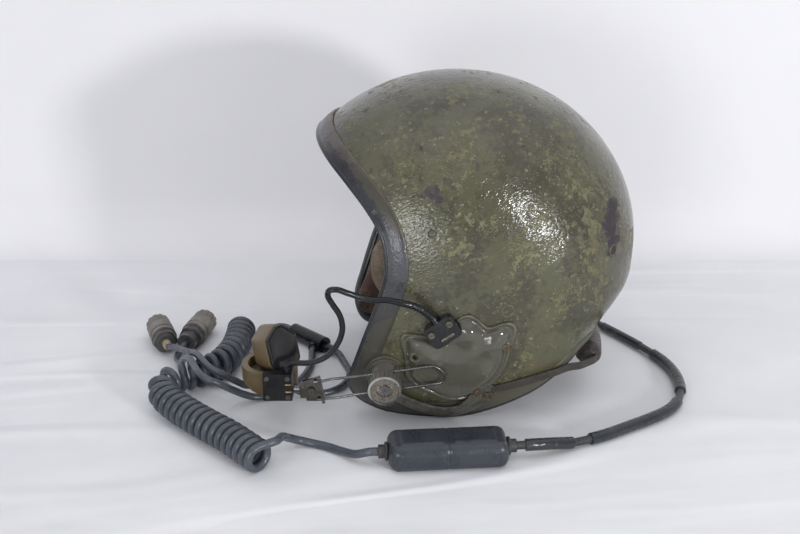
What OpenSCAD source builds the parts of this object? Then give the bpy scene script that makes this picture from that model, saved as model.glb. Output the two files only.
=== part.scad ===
// Crew helmet with a microphone boom, a curly lead and two plugs.
// The table is z = 0, the face points to -X and the wearer's left side to -Y.

/* [Shell] */
// Half of the shell's length at its widest level
shell_half_length = 163; // [155:1:171]
// Half of the shell's outer width
shell_half_width = 125; // [120:1:130]
// Height of the crown above the widest level
shell_crown = 147.5; // [140:0.5:155]
// Depth of the shell's curve below the widest level
shell_drop = 190; // [182:1:198]
// Thickness of the shell's wall
shell_wall = 4; // [3:0.5:5]
// Place of the shell's centre along the length
shell_x = -19; // [-25:1:-13]

/* [Trim and lining] */
// Thickness of the rubber trim on the shell's edge
trim_wall = 2.2; // [1.6:0.2:3]
// Width of the trim's outer band
trim_band = 17; // [13:1:21]
// Width of the trim's inner band
trim_inner_band = 9; // [6:1:12]
// Thickness of the foam liner
liner_wall = 15; // [11:1:18]
// Thickness of the crown, brow and nape pads
pad_wall = 10; // [7:1:13]
// Thickness of the leather ear pads
ear_pad_wall = 27; // [22:1:31]
// Radius of the earphone's cup
ear_cup_r = 22; // [19:0.5:24]
// Wall of the earphone's cup
ear_cup_wall = 2; // [1.5:0.5:3]

/* [Side covers and straps] */
// Height of the side cover over the shell
cover_rise = 6.5; // [5:0.5:7.5]
// Radius of a screw head on the side cover
cover_screw_r = 3.4; // [2.6:0.2:4]
// Length of the microphone lead's connector
connector_l = 28; // [24:1:31]
// Width of the microphone lead's connector
connector_w = 21; // [18:1:24]
// Width of the side strap
strap_w = 12; // [9:1:14]
// Thickness of the side strap
strap_wall = 2.2; // [1.4:0.2:2.8]
// Radius of a strap rivet
rivet_r = 3.2; // [2.4:0.2:4]
// Width of the nape strap
nape_strap_w = 9; // [7:1:11]
// Radius of the leather roll at the nape
nape_roll_r = 12; // [10:0.5:13]

/* [Boom] */
// Radius of the boom's base on the shell
base_r = 17; // [15:0.5:18]
// Radius of the pin that the boom turns on
pin_r = 3; // [2.4:0.2:3.6]
// Radius of the clamp drum
drum_r = 12.5; // [12:0.5:14]
// Height of the clamp drum
drum_h = 14; // [12:0.5:15]
// Radius of the clamp knob
knob_r = 14.2; // [13:0.2:16]
// Height of the clamp knob
knob_h = 11; // [9:0.5:13]
// Radius of the boom's wire
wire_r = 1.4; // [1.1:0.1:1.8]
// Distance between the two legs of the wire
wire_gap = 18; // [16.5:0.5:19]
// Slope of the boom, up towards the rear
boom_slope = 9; // [6:1:12]

/* [Microphone] */
// Outer radius of the microphone's collar
collar_r = 24.5; // [22:0.5:26]
// Wall of the microphone's collar
collar_wall = 5.5; // [4:0.5:6.5]
// Width of the microphone's body
mic_w = 25; // [22:0.5:26]
// Depth of the microphone's housing behind its face
mic_depth = 19; // [15:0.5:20]
// Thickness of the black face
mic_face_wall = 5; // [3:0.5:6]
// Radius of the shaft that the microphone turns on
shaft_r = 1.8; // [1.4:0.1:2.4]

/* [Cords and plugs] */
// Diameter of the main cable and of the curly cord
cable_d = 7.2; // [6.2:0.1:7.4]
// Diameter of the two plug cables
plug_cable_d = 6.6; // [5.6:0.2:7]
// Diameter of the microphone's cable
mic_cable_d = 5; // [4:0.2:5.6]
// Diameter of the sleeves on the main cable
sleeve_d = 10.6; // [9:0.2:11]
// Outer diameter of the curly cord
curl_d = 29; // [27:0.5:30]
// Length of the in-line box
box_l = 100; // [90:1:104]
// Width of the in-line box
box_w = 38; // [32:1:42]
// Height of the in-line box
box_h = 25; // [22:1:30]
// Radius of a plug's body
plug_r = 12.6; // [11:0.2:13.4]
// Length of a plug's body without its coupling ring
plug_l = 20; // [16:1:24]
// Radius of a plug's contact nose
nose_r = 8; // [6.5:0.5:9]
// Length of a plug's nose in front of its ring
nose_l = 6; // [5:0.5:8]

/* [Hidden] */
$fn = 48;

olive = "#4b4d33";
rubber = "#34373a";
leather = "#6a5140";
black = "#1f2022";
steel = "#a8a8a6";
brown = "#5d5240";

// Clearances
seat_gap = 0.3;
run_gap = 0.05;
liner_gap = 1.3;

// Shell surface, measured from the shell's centre
pole = [cos(56), 0, sin(56)];
shell_rows = 13;
edge_steps = 2;
power_top = 2.3;
power_low = 3;

// Edge of the shell seen from the side, from the brow to the nape
edge_side = [
    [-123, 97], [-112, 90], [-94, 76], [-76, 57], [-64, 36], [-61, 8], [-69, -23], [-79, -52],
    [-89, -83], [-95.5, -108], [-88, -127], [-67, -136.5], [-30, -138.5], [12, -134],
    [65, -114], [99, -91], [130, -79], [146, -81]
];

function clamp(v, a, b) = min(b, max(a, v));
function ease(t) = t * t * (3 - 2 * t);
function unit(v) = v / norm(v);
function flip_y(v) = [v.x, -v.y, v.z];

// A Catmull-Rom curve through a, b, c and d, at t between b and c
function curve(a, b, c, d, t) = 0.5 * (2 * b + (c - a) * t
    + (2 * a - 5 * b + 4 * c - d) * t * t + (3 * b - a - 3 * c + d) * t * t * t);

// Fullness of the level section: it grows squarer towards the edge
function power(z) = power_top + (power_low - power_top) * ease(clamp(-z / 140, 0, 1));
// The side wall rolls in a little just above the edge
function half_width(z) = shell_half_width * (1 - 0.065 * ease(clamp((-z - 85) / 55, 0, 1)));
function side_rho(x, z) = norm([x / shell_half_length, z / (z > 0 ? shell_crown : shell_drop)]);
function reach(d, p, w) = pow(pow(side_rho(d.x, d.z), p) + pow(abs(d.y) / w, p), -1 / p);
function shell_reach(d, n = 7, p = 2.5, w = shell_half_width) =
    let (r = reach(d, p, w))
    n == 0 ? r : shell_reach(d, n - 1, power(d.z * r), half_width(d.z * r));
function arc_dir(a, b, t) =
    let (w = acos(a * b))
    (sin((1 - t) * w) * a + sin(t * w) * b) / sin(w);

function edge_y(q, i) =
    let (p = power(q.y))
    i == 0 || i == len(edge_side) - 1 ? 0 : half_width(q.y) * pow(max(0, 1 - pow(side_rho(q.x, q.y), p)), 1 / p);
edge_points = [for (i = [0 : len(edge_side) - 1]) [edge_side[i].x, edge_y(edge_side[i], i), edge_side[i].y]];
edge_loop = concat(edge_points, [for (i = [len(edge_points) - 2 : -1 : 1]) flip_y(edge_points[i])]);
edge_n = len(edge_loop);
edge_dirs = [
    for (i = [0 : edge_n - 1]) for (k = [0 : edge_steps - 1])
        unit(curve(edge_loop[(i + edge_n - 1) % edge_n], edge_loop[i],
            edge_loop[(i + 1) % edge_n], edge_loop[(i + 2) % edge_n], k / edge_steps))
];
edge_z = [for (d = edge_dirs) d.z * shell_reach(d)];
// Height of the shell's centre, with the lowest trim cut half a millimetre flat
trim_over = seat_gap + trim_wall;
shell_level = -min(edge_z) + trim_over - 0.5;

// Outer surface of the shell at x and z, in the object's frame
function side_y(x, z) =
    let (u = x - shell_x, v = z - shell_level, p = power(v))
    half_width(v) * pow(max(0, 1 - pow(side_rho(u, v), p)), 1 / p);

// What stands beside the shell keeps its place when the shell grows wider
first_half_width = 125;
broad = shell_half_width / first_half_width;
function broad_y(q) = [for (p = q) [p.x, p.y * broad, p.z]];
boom_y = -108 * broad;
boom_shift = boom_y - boom_y / broad;
function beside_boom(q) = [for (p = q) p + [0, boom_shift, 0]];

// Faces of a grid of closed rings, with a fan or a cap at each end
function ring_faces(rings, n) = [
    for (j = [0 : rings - 2]) for (i = [0 : n - 1])
        let (a = j * n + i, b = j * n + (i + 1) % n)
        each [[a, a + n, b], [b, a + n, b + n]]
];
function cap_fan(first, n, turn) = [
    for (i = [1 : n - 2]) turn ? [first, first + i, first + i + 1] : [first, first + i + 1, first + i]
];

// A layer that follows the shell: from the pole to the edge, between two depths
module dome_layer(top, dirs, rows, outer, inner) {
    n = len(dirs);
    outside = [for (j = [1 : rows]) for (d = dirs)
        let (e = arc_dir(top, d, j / rows)) e * (shell_reach(e) - outer[j])];
    inside = [for (j = [rows : -1 : 1]) for (d = dirs)
        let (e = arc_dir(top, d, j / rows)) e * (shell_reach(e) - inner[j])];
    crest = top * (shell_reach(top) - outer[0]);
    vault = top * (shell_reach(top) - inner[0]);
    first = [for (i = [0 : n - 1]) [0, 1 + i, 1 + (i + 1) % n]];
    last_row = 1 + (2 * rows - 1) * n;
    last = [for (i = [0 : n - 1]) [last_row + n, last_row + (i + 1) % n, last_row + i]];
    sides = [for (f = ring_faces(2 * rows, n)) [f[0] + 1, f[1] + 1, f[2] + 1]];
    translate([shell_x, 0, shell_level])
        polyhedron(concat([crest], outside, inside, [vault]), concat(first, sides, last));
}

module shell_slab(dirs, grow) {
    depth_out = [for (j = [0 : shell_rows]) -grow];
    depth_in = [for (j = [0 : shell_rows]) shell_wall + grow];
    dome_layer(pole, dirs, shell_rows, depth_out, depth_in);
}
module shell() { color(olive) shell_slab(edge_dirs, 0); }
// The space that the shell takes with the seat gap round it
seat_dirs = [for (d = edge_dirs) arc_dir(pole, d, 1 + seat_gap / edge_arc(d))];
module shell_space() { shell_slab(seat_dirs, seat_gap); }

// Trim: a channel of rubber folded over the shell's edge
function edge_arc(d) = acos(pole * d) * PI / 180 * shell_reach(d);
function trim_ring(d) =
    let (arc = edge_arc(d), out_t = 1 - trim_band / arc, in_t = 1 - trim_inner_band / arc,
        rim = 1 + trim_over / arc, mid = -shell_wall / 2, o2 = trim_over, i2 = -shell_wall - trim_over)
    [for (q = [[out_t, mid], [out_t, o2], [rim, o2], [rim, i2], [in_t, i2], [in_t, mid]])
        let (e = arc_dir(pole, d, q[0])) e * (shell_reach(e) + q[1])];
module rim_trim() {
    n = 6;
    rings = [for (d = edge_dirs) trim_ring(d)];
    count = len(rings);
    faces = [for (i = [0 : count - 1]) for (k = [0 : n - 1])
        let (a = i * n + k, b = i * n + (k + 1) % n, c = ((i + 1) % count) * n)
        each [[a, b, c + k], [b, c + (k + 1) % n, c + k]]];
    color(rubber) difference() {
        translate([shell_x, 0, shell_level]) polyhedron([for (r = rings) each r], faces);
        shell_space();
        translate([-250, -250, -50]) cube([500, 500, 50]);
    }
}

// Foam liner over the crown, down to just above the ears
liner_angle = 100;
liner_rows = 7;
liner_in = shell_wall + liner_gap + liner_wall;
function liner_dir(d) = arc_dir(pole, d, min(0.87, liner_angle / acos(pole * d)));
module liner_slab(grow) {
    dirs = [for (i = [0 : edge_steps : len(edge_dirs) - 1]) liner_dir(edge_dirs[i])];
    depth_out = [for (j = [0 : liner_rows]) shell_wall + liner_gap - grow];
    depth_in = [for (j = [0 : liner_rows]) (j == liner_rows ? liner_in - liner_wall / 2 : liner_in) + grow];
    dome_layer(pole, dirs, liner_rows, depth_out, depth_in);
}
module impact_liner() { color(black) liner_slab(0); }

// A crowned pad on the liner: a centre, half its width and half its height in degrees
pad_rows = 4;
module liner_pad(centre, wide, high) {
    across = [0, 1, 0];
    up = cross(centre, across);
    dirs = [for (a = [345 : -15 : 0])
        unit(centre + across * tan(wide) * cos(a) + up * tan(high) * sin(a))];
    depth_out = [for (j = [0 : pad_rows]) liner_in - 3];
    depth_in = [for (j = [0 : pad_rows])
        liner_in + 2 + pad_wall * (0.35 + 0.65 * sqrt(1 - pow(j / pad_rows, 3)))];
    color(leather) difference() {
        dome_layer(centre, dirs, pad_rows, depth_out, depth_in);
        liner_slab(seat_gap);
    }
}
module crown_pad() { liner_pad(unit([0.1, 0, 1]), 24, 30); }
module brow_pad() { liner_pad(unit([-0.59, 0, 0.81]), 26, 7); }
module nape_pad() { liner_pad(unit([1, 0, -0.12]), 30, 11); }

// Ear pads: a crowned leather ring that lies against the shell
ear_x = -20;
ear_z = 66;
ear_pad_x = -34;
ear_pad_half = [55, 42];
ear_hole_r = ear_cup_r + seat_gap;
ear_pad_section = [[0, 0], [0.5, 0], [1, 0], [1, 0.45], [0.88, 0.86], [0.5, 1], [0.12, 0.9], [0, 0.6]];
function ear_pad_ring(a) =
    let (c = cos(a), s = sin(a), m = pow(pow(abs(c), 2.4) + pow(abs(s), 2.4), -1 / 2.4),
        inner = [ear_x + ear_hole_r * c, ear_z + ear_hole_r * s],
        outer = [ear_pad_x + ear_pad_half.x * m * c, ear_z + ear_pad_half.y * m * s])
    [for (q = ear_pad_section)
        let (p = inner + (outer - inner) * q[0])
        [p.x, side_y(p.x, p.y) - shell_wall + 0.5 - ear_pad_wall * q[1], p.y]];
module ear_pad_shape() {
    n = len(ear_pad_section);
    count = 32;
    rings = [for (i = [0 : count - 1]) ear_pad_ring(i * 360 / count)];
    faces = [for (i = [0 : count - 1]) for (k = [0 : n - 1])
        let (a = i * n + k, b = i * n + (k + 1) % n, c = ((i + 1) % count) * n)
        each [[a, b, c + k], [b, c + (k + 1) % n, c + k]]];
    polyhedron([for (r = rings) each r], faces);
}
module left_side() { mirror([0, 1, 0]) children(); }
module ear_pad_right() {
    color(leather) difference() {
        ear_pad_shape();
        shell_space();
        liner_slab(seat_gap);
    }
}
module ear_pad_left() {
    color(leather) difference() {
        left_side() ear_pad_shape();
        shell_space();
        liner_slab(seat_gap);
    }
}

// Earphones: a cup with its open side to the head, and a pierced disc in it
cup_depth = 20;
cup_back = side_y(ear_x, ear_z - ear_cup_r) - shell_wall - liner_gap;
module ear_frame() { translate([ear_x, cup_back, ear_z]) rotate([90, 0, 0]) children(); }
module ear_cup() {
    color(black) ear_frame() difference() {
        cylinder(r = ear_cup_r, h = cup_depth);
        translate([0, 0, ear_cup_wall]) cylinder(r = ear_cup_r - ear_cup_wall, h = cup_depth);
    }
}
module earphone() {
    disc_r = ear_cup_r - ear_cup_wall - run_gap;
    color(rubber) ear_frame() translate([0, 0, ear_cup_wall]) difference() {
        cylinder(r = disc_r, h = cup_depth - ear_cup_wall - 2);
        for (a = [0 : 60 : 300]) rotate(a) translate([disc_r * 0.5, 0, 6]) cylinder(r = 1.3, h = cup_depth);
        translate([0, 0, 6]) cylinder(r = 1.3, h = cup_depth);
    }
}
module ear_cup_right() { ear_cup(); }
module ear_cup_left() { left_side() ear_cup(); }
module earphone_right() { earphone(); }
module earphone_left() { left_side() earphone(); }

// Side covers: a raised plate with lobes, given by an angle and a radius
cover_x = -22;
cover_z = 64;
cover_outline = [
    [-150, 39], [-120, 36], [-90, 31], [-60, 27], [-35, 31], [-12, 43], [8, 48], [22, 52],
    [34, 43], [46, 53], [55, 40], [66, 45], [77, 48], [92, 43], [108, 27], [130, 23],
    [150, 30], [166, 41], [180, 36], [195, 37], [210, 39]
];
function cover_radius(a) =
    let (b = a < -150 ? a + 360 : a > 210 ? a - 360 : a) lookup(b, cover_outline);
cover_rows = [[1, 0], [1, 0.45], [0.93, 0.85], [0.8, 1], [0.4, 1]];
cover_n = 60;
cover_lug = [20, 83];
cover_hole = [-57, 73];
module side_cover() {
    rings = concat(
        [for (q = [[0.01, 0], [0.5, 0]]) [for (i = [0 : cover_n - 1]) cover_point(i, q)]],
        [for (q = cover_rows) [for (i = [0 : cover_n - 1]) cover_point(i, q)]]);
    middle = [cover_x, side_y(cover_x, cover_z) + seat_gap + cover_rise, cover_z];
    count = len(rings);
    top = count * cover_n;
    fan = [for (i = [0 : cover_n - 1]) [(count - 1) * cover_n + i, top, (count - 1) * cover_n + (i + 1) % cover_n]];
    color(olive) polyhedron(concat([for (r = rings) each r], [middle]),
        concat(ring_faces(count, cover_n), fan, cap_fan(0, cover_n, true)));
}
function cover_point(i, q) =
    let (a = 210 - i * 360 / cover_n, r = cover_radius(a) * q[0],
        x = cover_x + r * cos(a), z = cover_z + r * sin(a))
    [x, side_y(x, z) + seat_gap + 0.1 + cover_rise * q[1], z];
module side_frame(p, out) {
    translate([p.x, side_y(p.x, p.y) + out, p.y]) rotate([-90, 0, 0]) children();
}
cover_screw_hole = 1.6;
module side_cover_right() {
    difference() {
        side_cover();
        color(olive) for (p = [cover_lug, cover_hole])
            side_frame(p, -2) cylinder(r = cover_screw_hole + run_gap, h = cover_rise * 4);
    }
}
module side_cover_left() {
    color(olive) difference() {
        left_side() side_cover_right();
        connector_frame() translate([0, 0, -20]) round_box(connector_l + 0.8, connector_w + 0.8, 40, 5.4);
    }
}
module cover_screw(p) {
    top = seat_gap + cover_rise;
    color(steel) side_frame(p, top + run_gap) difference() {
        union() {
            cylinder(r = cover_screw_r, h = 1.8);
            translate([0, 0, -cover_rise]) cylinder(r = cover_screw_hole, h = cover_rise);
        }
        translate([-0.4, -5, 1]) cube([0.8, 10, 2]);
    }
}
module cover_screws() {
    left_side() cover_screw(cover_lug);
    for (p = [cover_lug, cover_hole]) cover_screw(p);
}

// Space under a piece that stands on the shell's side: the shell, grown by the seat gap
module side_seat(x0, x1, z0, z1, n) {
    xs = [for (i = [0 : n]) x0 + (x1 - x0) * i / n];
    zs = [for (i = [0 : n]) z0 + (z1 - z0) * i / n];
    m = n + 1;
    skin = [for (z = zs) for (x = xs) [x, side_y(x, z) + seat_gap, z]];
    back = [for (z = zs) for (x = xs) [x, 20, z]];
    function id(i, j) = j * m + i;
    over = [for (j = [0 : n - 1]) for (i = [0 : n - 1])
        each [[id(i, j), id(i + 1, j), id(i, j + 1)], [id(i + 1, j), id(i + 1, j + 1), id(i, j + 1)]]];
    under = [for (f = over) [f[0] + m * m, f[2] + m * m, f[1] + m * m]];
    border = concat([for (i = [0 : n]) id(i, 0)], [for (j = [1 : n]) id(n, j)],
        [for (i = [n - 1 : -1 : 0]) id(i, n)], [for (j = [n - 1 : -1 : 1]) id(0, j)]);
    count = len(border);
    wall = [for (i = [0 : count - 1])
        let (a = border[i], b = border[(i + 1) % count])
        each [[a, a + m * m, b], [b, a + m * m, b + m * m]]];
    polyhedron(concat(skin, back), concat(over, under, wall));
}

// A box with four round corners, drawn from its middle
module round_box(l, w, h, r) {
    translate([-l / 2 + r, -w / 2, 0]) cube([l - 2 * r, w, h]);
    translate([-l / 2, -w / 2 + r, 0]) cube([l, w - 2 * r, h]);
    for (x = [-1, 1]) for (y = [-1, 1])
        translate([x * (l / 2 - r), y * (w / 2 - r), 0]) cylinder(r = r, h = h);
}

// Connector of the microphone lead, on the wearer's left
connector_x = -34;
connector_z = 99;
connector_turn = 36;
connector_face = side_y(connector_x, connector_z) + 9.4;
connector_screw = [9, 4];
module connector_frame() {
    translate([connector_x, -connector_face, connector_z]) rotate([90, 0, 0])
        rotate([0, 0, connector_turn]) children();
}
module connector_block() {
    color(black) difference() {
        connector_frame() union() {
            translate([0, 0, -16]) round_box(connector_l, connector_w, 16, 5);
            translate([1, -connector_w / 4 - 0.5, 0]) round_box(14, 3, 0.7, 1);
        }
        left_side() side_seat(connector_x - 30, connector_x + 30, connector_z - 30, connector_z + 30, 7);
        connector_frame() for (x = [-1, 1]) translate([x * connector_screw.x, connector_screw.y, -4])
            cylinder(r = 1.6 + run_gap, h = 8);
    }
}
module connector_screws() {
    color(steel) connector_frame() for (x = [-1, 1])
        translate([x * connector_screw.x, connector_screw.y, 0]) difference() {
            union() {
                cylinder(r = 2.9, h = 1.4);
                translate([0, 0, -4]) cylinder(r = 1.6, h = 4);
            }
            translate([-4, -0.35, 0.8]) cube([8, 0.7, 2]);
        }
}

// Tubes swept along a route: a ring of points square to the route at each point
function tangent(p, i) =
    i == 0 ? unit(p[1] - p[0]) : i == len(p) - 1 ? unit(p[i] - p[i - 1]) : unit(unit(p[i + 1] - p[i]) + unit(p[i] - p[i - 1]));
function ring_at(c, t, r, n) =
    let (a = unit(cross(abs(t.z) > 0.9 ? [1, 0, 0] : [0, 0, 1], t)), b = cross(t, a))
    [for (k = [0 : n - 1]) c + r * (cos(k * 360 / n) * a + sin(k * 360 / n) * b)];
module tube(p, r, n = 8) {
    count = len(p);
    points = [for (i = [0 : count - 1]) each ring_at(p[i], tangent(p, i), is_list(r) ? r[i] : r, n)];
    polyhedron(points, concat(
        ring_faces(count, n), cap_fan(0, n, true), cap_fan((count - 1) * n, n, false)));
}

sleeve_y = -(connector_face - 3.3);
sleeve_start = [connector_x - sin(connector_turn) * connector_w / 2,
    sleeve_y, connector_z + cos(connector_turn) * connector_w / 2];
lead_end = [-75, -137 + boom_shift, 130];
lead_route = concat([sleeve_start, sleeve_start + 5 * [-sin(connector_turn), 0, cos(connector_turn)]],
    beside_boom([[-49, -131, 117.5], [-57, -133.5, 123.5], [-66, -136, 127.5]]), [lead_end]);
module lead_sleeve() {
    color(rubber) tube(lead_route, [3.2, 3.2, 3.2, 3.1, 3, mic_cable_d / 2 + 0.3]);
}

// A band that lies on the shell's side: its middle line in x and z, widths and lift
module side_band(line, widths, lifts, wall) {
    count = len(line);
    points = [for (i = [0 : count - 1])
        let (t = unit(line[min(i + 1, count - 1)] - line[max(i - 1, 0)]), s = [-t.y, t.x] * widths[i] / 2,
            a = line[i] - s, b = line[i] + s,
            ya = side_y(a.x, a.y) + lifts[i], yb = side_y(b.x, b.y) + lifts[i])
        each [[a.x, ya, a.y], [a.x, ya + wall, a.y], [b.x, yb + wall, b.y], [b.x, yb, b.y]]];
    polyhedron(points, concat(ring_faces(count, 4), cap_fan(0, 4, true), cap_fan((count - 1) * 4, 4, false)));
}
strap_line = [[10.5, 41], [7, 37.5], [2, 32.5], [-6, 24], [-16, 16], [-29, 12.5], [-42, 14.5], [-55, 19.5], [-68, 26], [-76, 30]];
strap_lift = trim_over + seat_gap + 0.4;
module side_strap() {
    widths = [for (i = [0 : len(strap_line) - 1]) strap_w + (i == 0 ? 0 : i < 3 ? 4 : i < 4 ? 2 : 0)];
    lifts = [for (q = strap_line) max(seat_gap, strap_lift - max(0, q.y - 24) * 0.2)];
    color(olive) difference() {
        side_band(strap_line, widths, lifts, strap_wall);
        for (q = rivet_places) side_frame(q, -5) cylinder(r = rivet_shank + run_gap, h = 30);
    }
}
rivet_places = [[-2.5, 35.5], [7.5, 32]];
rivet_shank = 1.5;
module side_strap_right() { side_strap(); }
module side_strap_left() { left_side() side_strap(); }
module rivet(q) {
    lift = strap_lift + 1.2 + strap_wall;
    color(steel) side_frame(q, lift) {
        difference() {
            cylinder(r = rivet_r, h = 1.2);
            translate([0, 0, 0.5]) cylinder(r = rivet_shank, h = 2);
        }
        translate([0, 0, -lift + 1.2]) cylinder(r = rivet_shank, h = lift - 0.8);
    }
}
module strap_rivets() {
    for (q = rivet_places) rivet(q);
    left_side() for (q = rivet_places) rivet(q);
}

// Nape roll: a curved leather roll behind the neck, and the straps that hold its ends
roll_x = 19;
roll_z = 41;
roll_bend = 101;
roll_half_angle = 37;
module nape_roll() {
    color(leather) translate([roll_x, 0, roll_z]) rotate([0, 0, -roll_half_angle])
        rotate_extrude(angle = 2 * roll_half_angle) translate([roll_bend, 0]) circle(r = nape_roll_r);
}
roll_end = [roll_x + roll_bend * cos(roll_half_angle), roll_bend * sin(roll_half_angle), roll_z];
function on_side(x, z, lift) = [x, side_y(x, z) + lift, z];
nape_line = [
    on_side(20, 38, 2.4), on_side(34, 41.5, 2.8), on_side(46, 45, 4.4), on_side(58, 49.5, 4.8), on_side(70, 53.5, 4.8),
    on_side(80, 54, 5), on_side(91, 49.5, 8.18), on_side(98, 45, 0.73), roll_end + [-1, 2.6, 2]
];
module nape_strap() {
    w = nape_strap_w / 2;
    count = len(nape_line);
    points = [for (i = [0 : count - 1])
        let (t = tangent(nape_line, i), o = unit(cross(t, [0, 0, 1])) * -0.9, u = unit(cross(o, t)) * w, c = nape_line[i])
        each [c - u - o, c + u - o, c + u + o, c - u + o]];
    color(leather) polyhedron(points,
        concat(ring_faces(count, 4), cap_fan(0, 4, true), cap_fan((count - 1) * 4, 4, false)));
}
module nape_strap_right() { nape_strap(); }
module nape_strap_left() { left_side() nape_strap(); }

// Boom: a base on the shell, a drum that turns on the pin, and a knob that clamps it
boom_x = -83;
boom_z = 54;
boom_tilt = 5;
base_h = 12.5;
pin_foot = 6.5;
drum_z = base_h + run_gap;
wire_z = drum_z + drum_h * 0.72;
knob_z = drum_z + drum_h + run_gap;
face_r = knob_r - 1.9;
face_inner_r = 6.6;
module boom_frame() { translate([boom_x, boom_y, boom_z]) rotate([90 + boom_tilt, 0, 0]) children(); }
module boom_base() {
    color(olive) difference() {
        boom_frame() difference() {
            union() {
                translate([0, 0, -20]) cylinder(r = base_r - 1.5, h = 20 + base_h);
                translate([0, 0, -20]) cylinder(r = base_r, h = 20 + base_h - 3);
            }
            translate([0, 0, pin_foot]) cylinder(r = pin_r + run_gap, h = base_h);
        }
        left_side() side_seat(boom_x - 26, boom_x + 26, boom_z - 26, boom_z + 30, 7);
    }
}
module clamp_pin() {
    head_z = knob_z + knob_h - 2.2;
    color(steel) boom_frame() difference() {
        union() {
            translate([0, 0, pin_foot + run_gap]) cylinder(r = pin_r, h = head_z - pin_foot);
            translate([0, 0, head_z + run_gap]) cylinder(r = 5, h = 2.4);
        }
        translate([-0.6, -6, head_z + 1.2]) cube([1.2, 12, 3]);
    }
}
module leg_frame() { rotate([0, 0, boom_slope]) rotate([0, 90, 0]) children(); }
module clamp_drum() {
    color(rubber) boom_frame() difference() {
        translate([0, 0, drum_z]) cylinder(r = drum_r, h = drum_h);
        cylinder(r = pin_r + run_gap, h = 60);
        for (s = [-1, 1]) translate([0, 0, wire_z]) rotate([0, 0, boom_slope])
            translate([-30, s * wire_gap / 2, 0]) rotate([0, 90, 0]) cylinder(r = wire_r + run_gap, h = 60);
    }
}
module clamp_knob() {
    color(steel) boom_frame() translate([0, 0, knob_z]) difference() {
        cylinder(r = knob_r, h = knob_h);
        translate([0, 0, -1]) cylinder(r = pin_r + run_gap, h = 30);
        translate([0, 0, knob_h - 2.3]) cylinder(r = face_r, h = 5);
        for (a = [0 : 15 : 345]) rotate(a) translate([knob_r, 0, -1]) cylinder(r = 0.6, h = knob_h - 1.5);
    }
}
module knob_face() {
    color("#9a8378") boom_frame() translate([0, 0, knob_z + knob_h - 2.3 + 0.02]) difference() {
        cylinder(r = face_r - run_gap, h = 1.6);
        translate([0, 0, -1]) cylinder(r = face_inner_r, h = 5);
        for (a = [0 : 30 : 330]) rotate(a)
            translate([(face_r + face_inner_r) / 2, 0, 0.8]) cylinder(r = 0.6, h = 3);
    }
}

// Wire: a hairpin whose closed end is at the rear
rear_l = 44;
front_l = 57;
module leg(x0, x1) { translate([x0, 0, 0]) rotate([0, 90, 0]) cylinder(r = wire_r, h = x1 - x0); }
module boom_wire() {
    color(steel) boom_frame() translate([0, 0, wire_z]) rotate([0, 0, boom_slope]) {
        for (s = [-1, 1]) translate([0, s * wire_gap / 2, 0]) leg(-front_l, rear_l);
        translate([rear_l, 0, 0]) rotate([0, 0, -90])
            rotate_extrude(angle = 180) translate([wire_gap / 2, 0]) circle(r = wire_r);
    }
}

// Bracket at the front of the wire, in the frame of the wire's tips
function turn2(v, a) = [v.x * cos(a) - v.y * sin(a), v.x * sin(a) + v.y * cos(a)];
tip_at = turn2([-front_l, 0], boom_slope);
bracket_wall = 2;
module tip_frame() {
    boom_frame() translate([tip_at.x, tip_at.y, wire_z]) rotate([0, 0, boom_slope]) children();
}
bracket_plate = [[-13, -10], [3, -12.5], [3, 12.5], [-13, 10]];
module mic_bracket() {
    color(steel) difference() {
        union() {
            bracket_sheet();
            translate([lug_x, plate_y - bracket_wall + 0.3, shaft_z - 5]) cube([7, lug_l, 10]);
        }
        shaft_frame() translate([0, 0, -20]) cylinder(r = shaft_r + 0.01, h = 40);
    }
}
module bracket_sheet() {
    tip_frame() difference() {
        union() {
            translate([0, 0, -bracket_wall - wire_r - 0.02]) linear_extrude(bracket_wall) polygon(bracket_plate);
            translate([0.5, -12.5, -wire_r - bracket_wall]) cube([2.5, 25, 2 * wire_r + bracket_wall + 1]);
        }
        for (s = [-1, 1]) translate([-3, s * wire_gap / 2, 0]) rotate([0, 90, 0])
            cylinder(r = wire_r + 0.02, h = 20);
        translate([-7, 0, -10]) cylinder(r = 1.5 + run_gap, h = 20);
    }
}
module bracket_screw() {
    color(steel) tip_frame() translate([-7, 0, -wire_r + run_gap]) difference() {
        union() {
            cylinder(r = 3.2, h = 2);
            translate([0, 0, -bracket_wall]) cylinder(r = 1.5, h = bracket_wall);
        }
        translate([-0.4, -4, 1.2]) cube([0.8, 8, 2]);
    }
}

// Shaft from the bracket to the microphone: its axis lies along X
plate_y = boom_y - (wire_z - wire_r - bracket_wall) * cos(boom_tilt) - tip_at.y * sin(boom_tilt);
shaft_y = boom_y - 12;
shaft_z = boom_z + tip_at.y * cos(boom_tilt) - wire_z * sin(boom_tilt) - 3.5;
lug_x = -156;
lug_l = shaft_y + 4.5 - (plate_y - bracket_wall + 0.3);
module shaft_frame() { translate([lug_x, shaft_y, shaft_z]) rotate([0, 90, 0]) children(); }
module mic_shaft() {
    color(steel) shaft_frame() {
        translate([0, 0, -19]) cylinder(r = shaft_r, h = 25);
        translate([0, 0, -5.5]) cylinder(r = shaft_r + 2.2, h = 5);
    }
}

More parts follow.
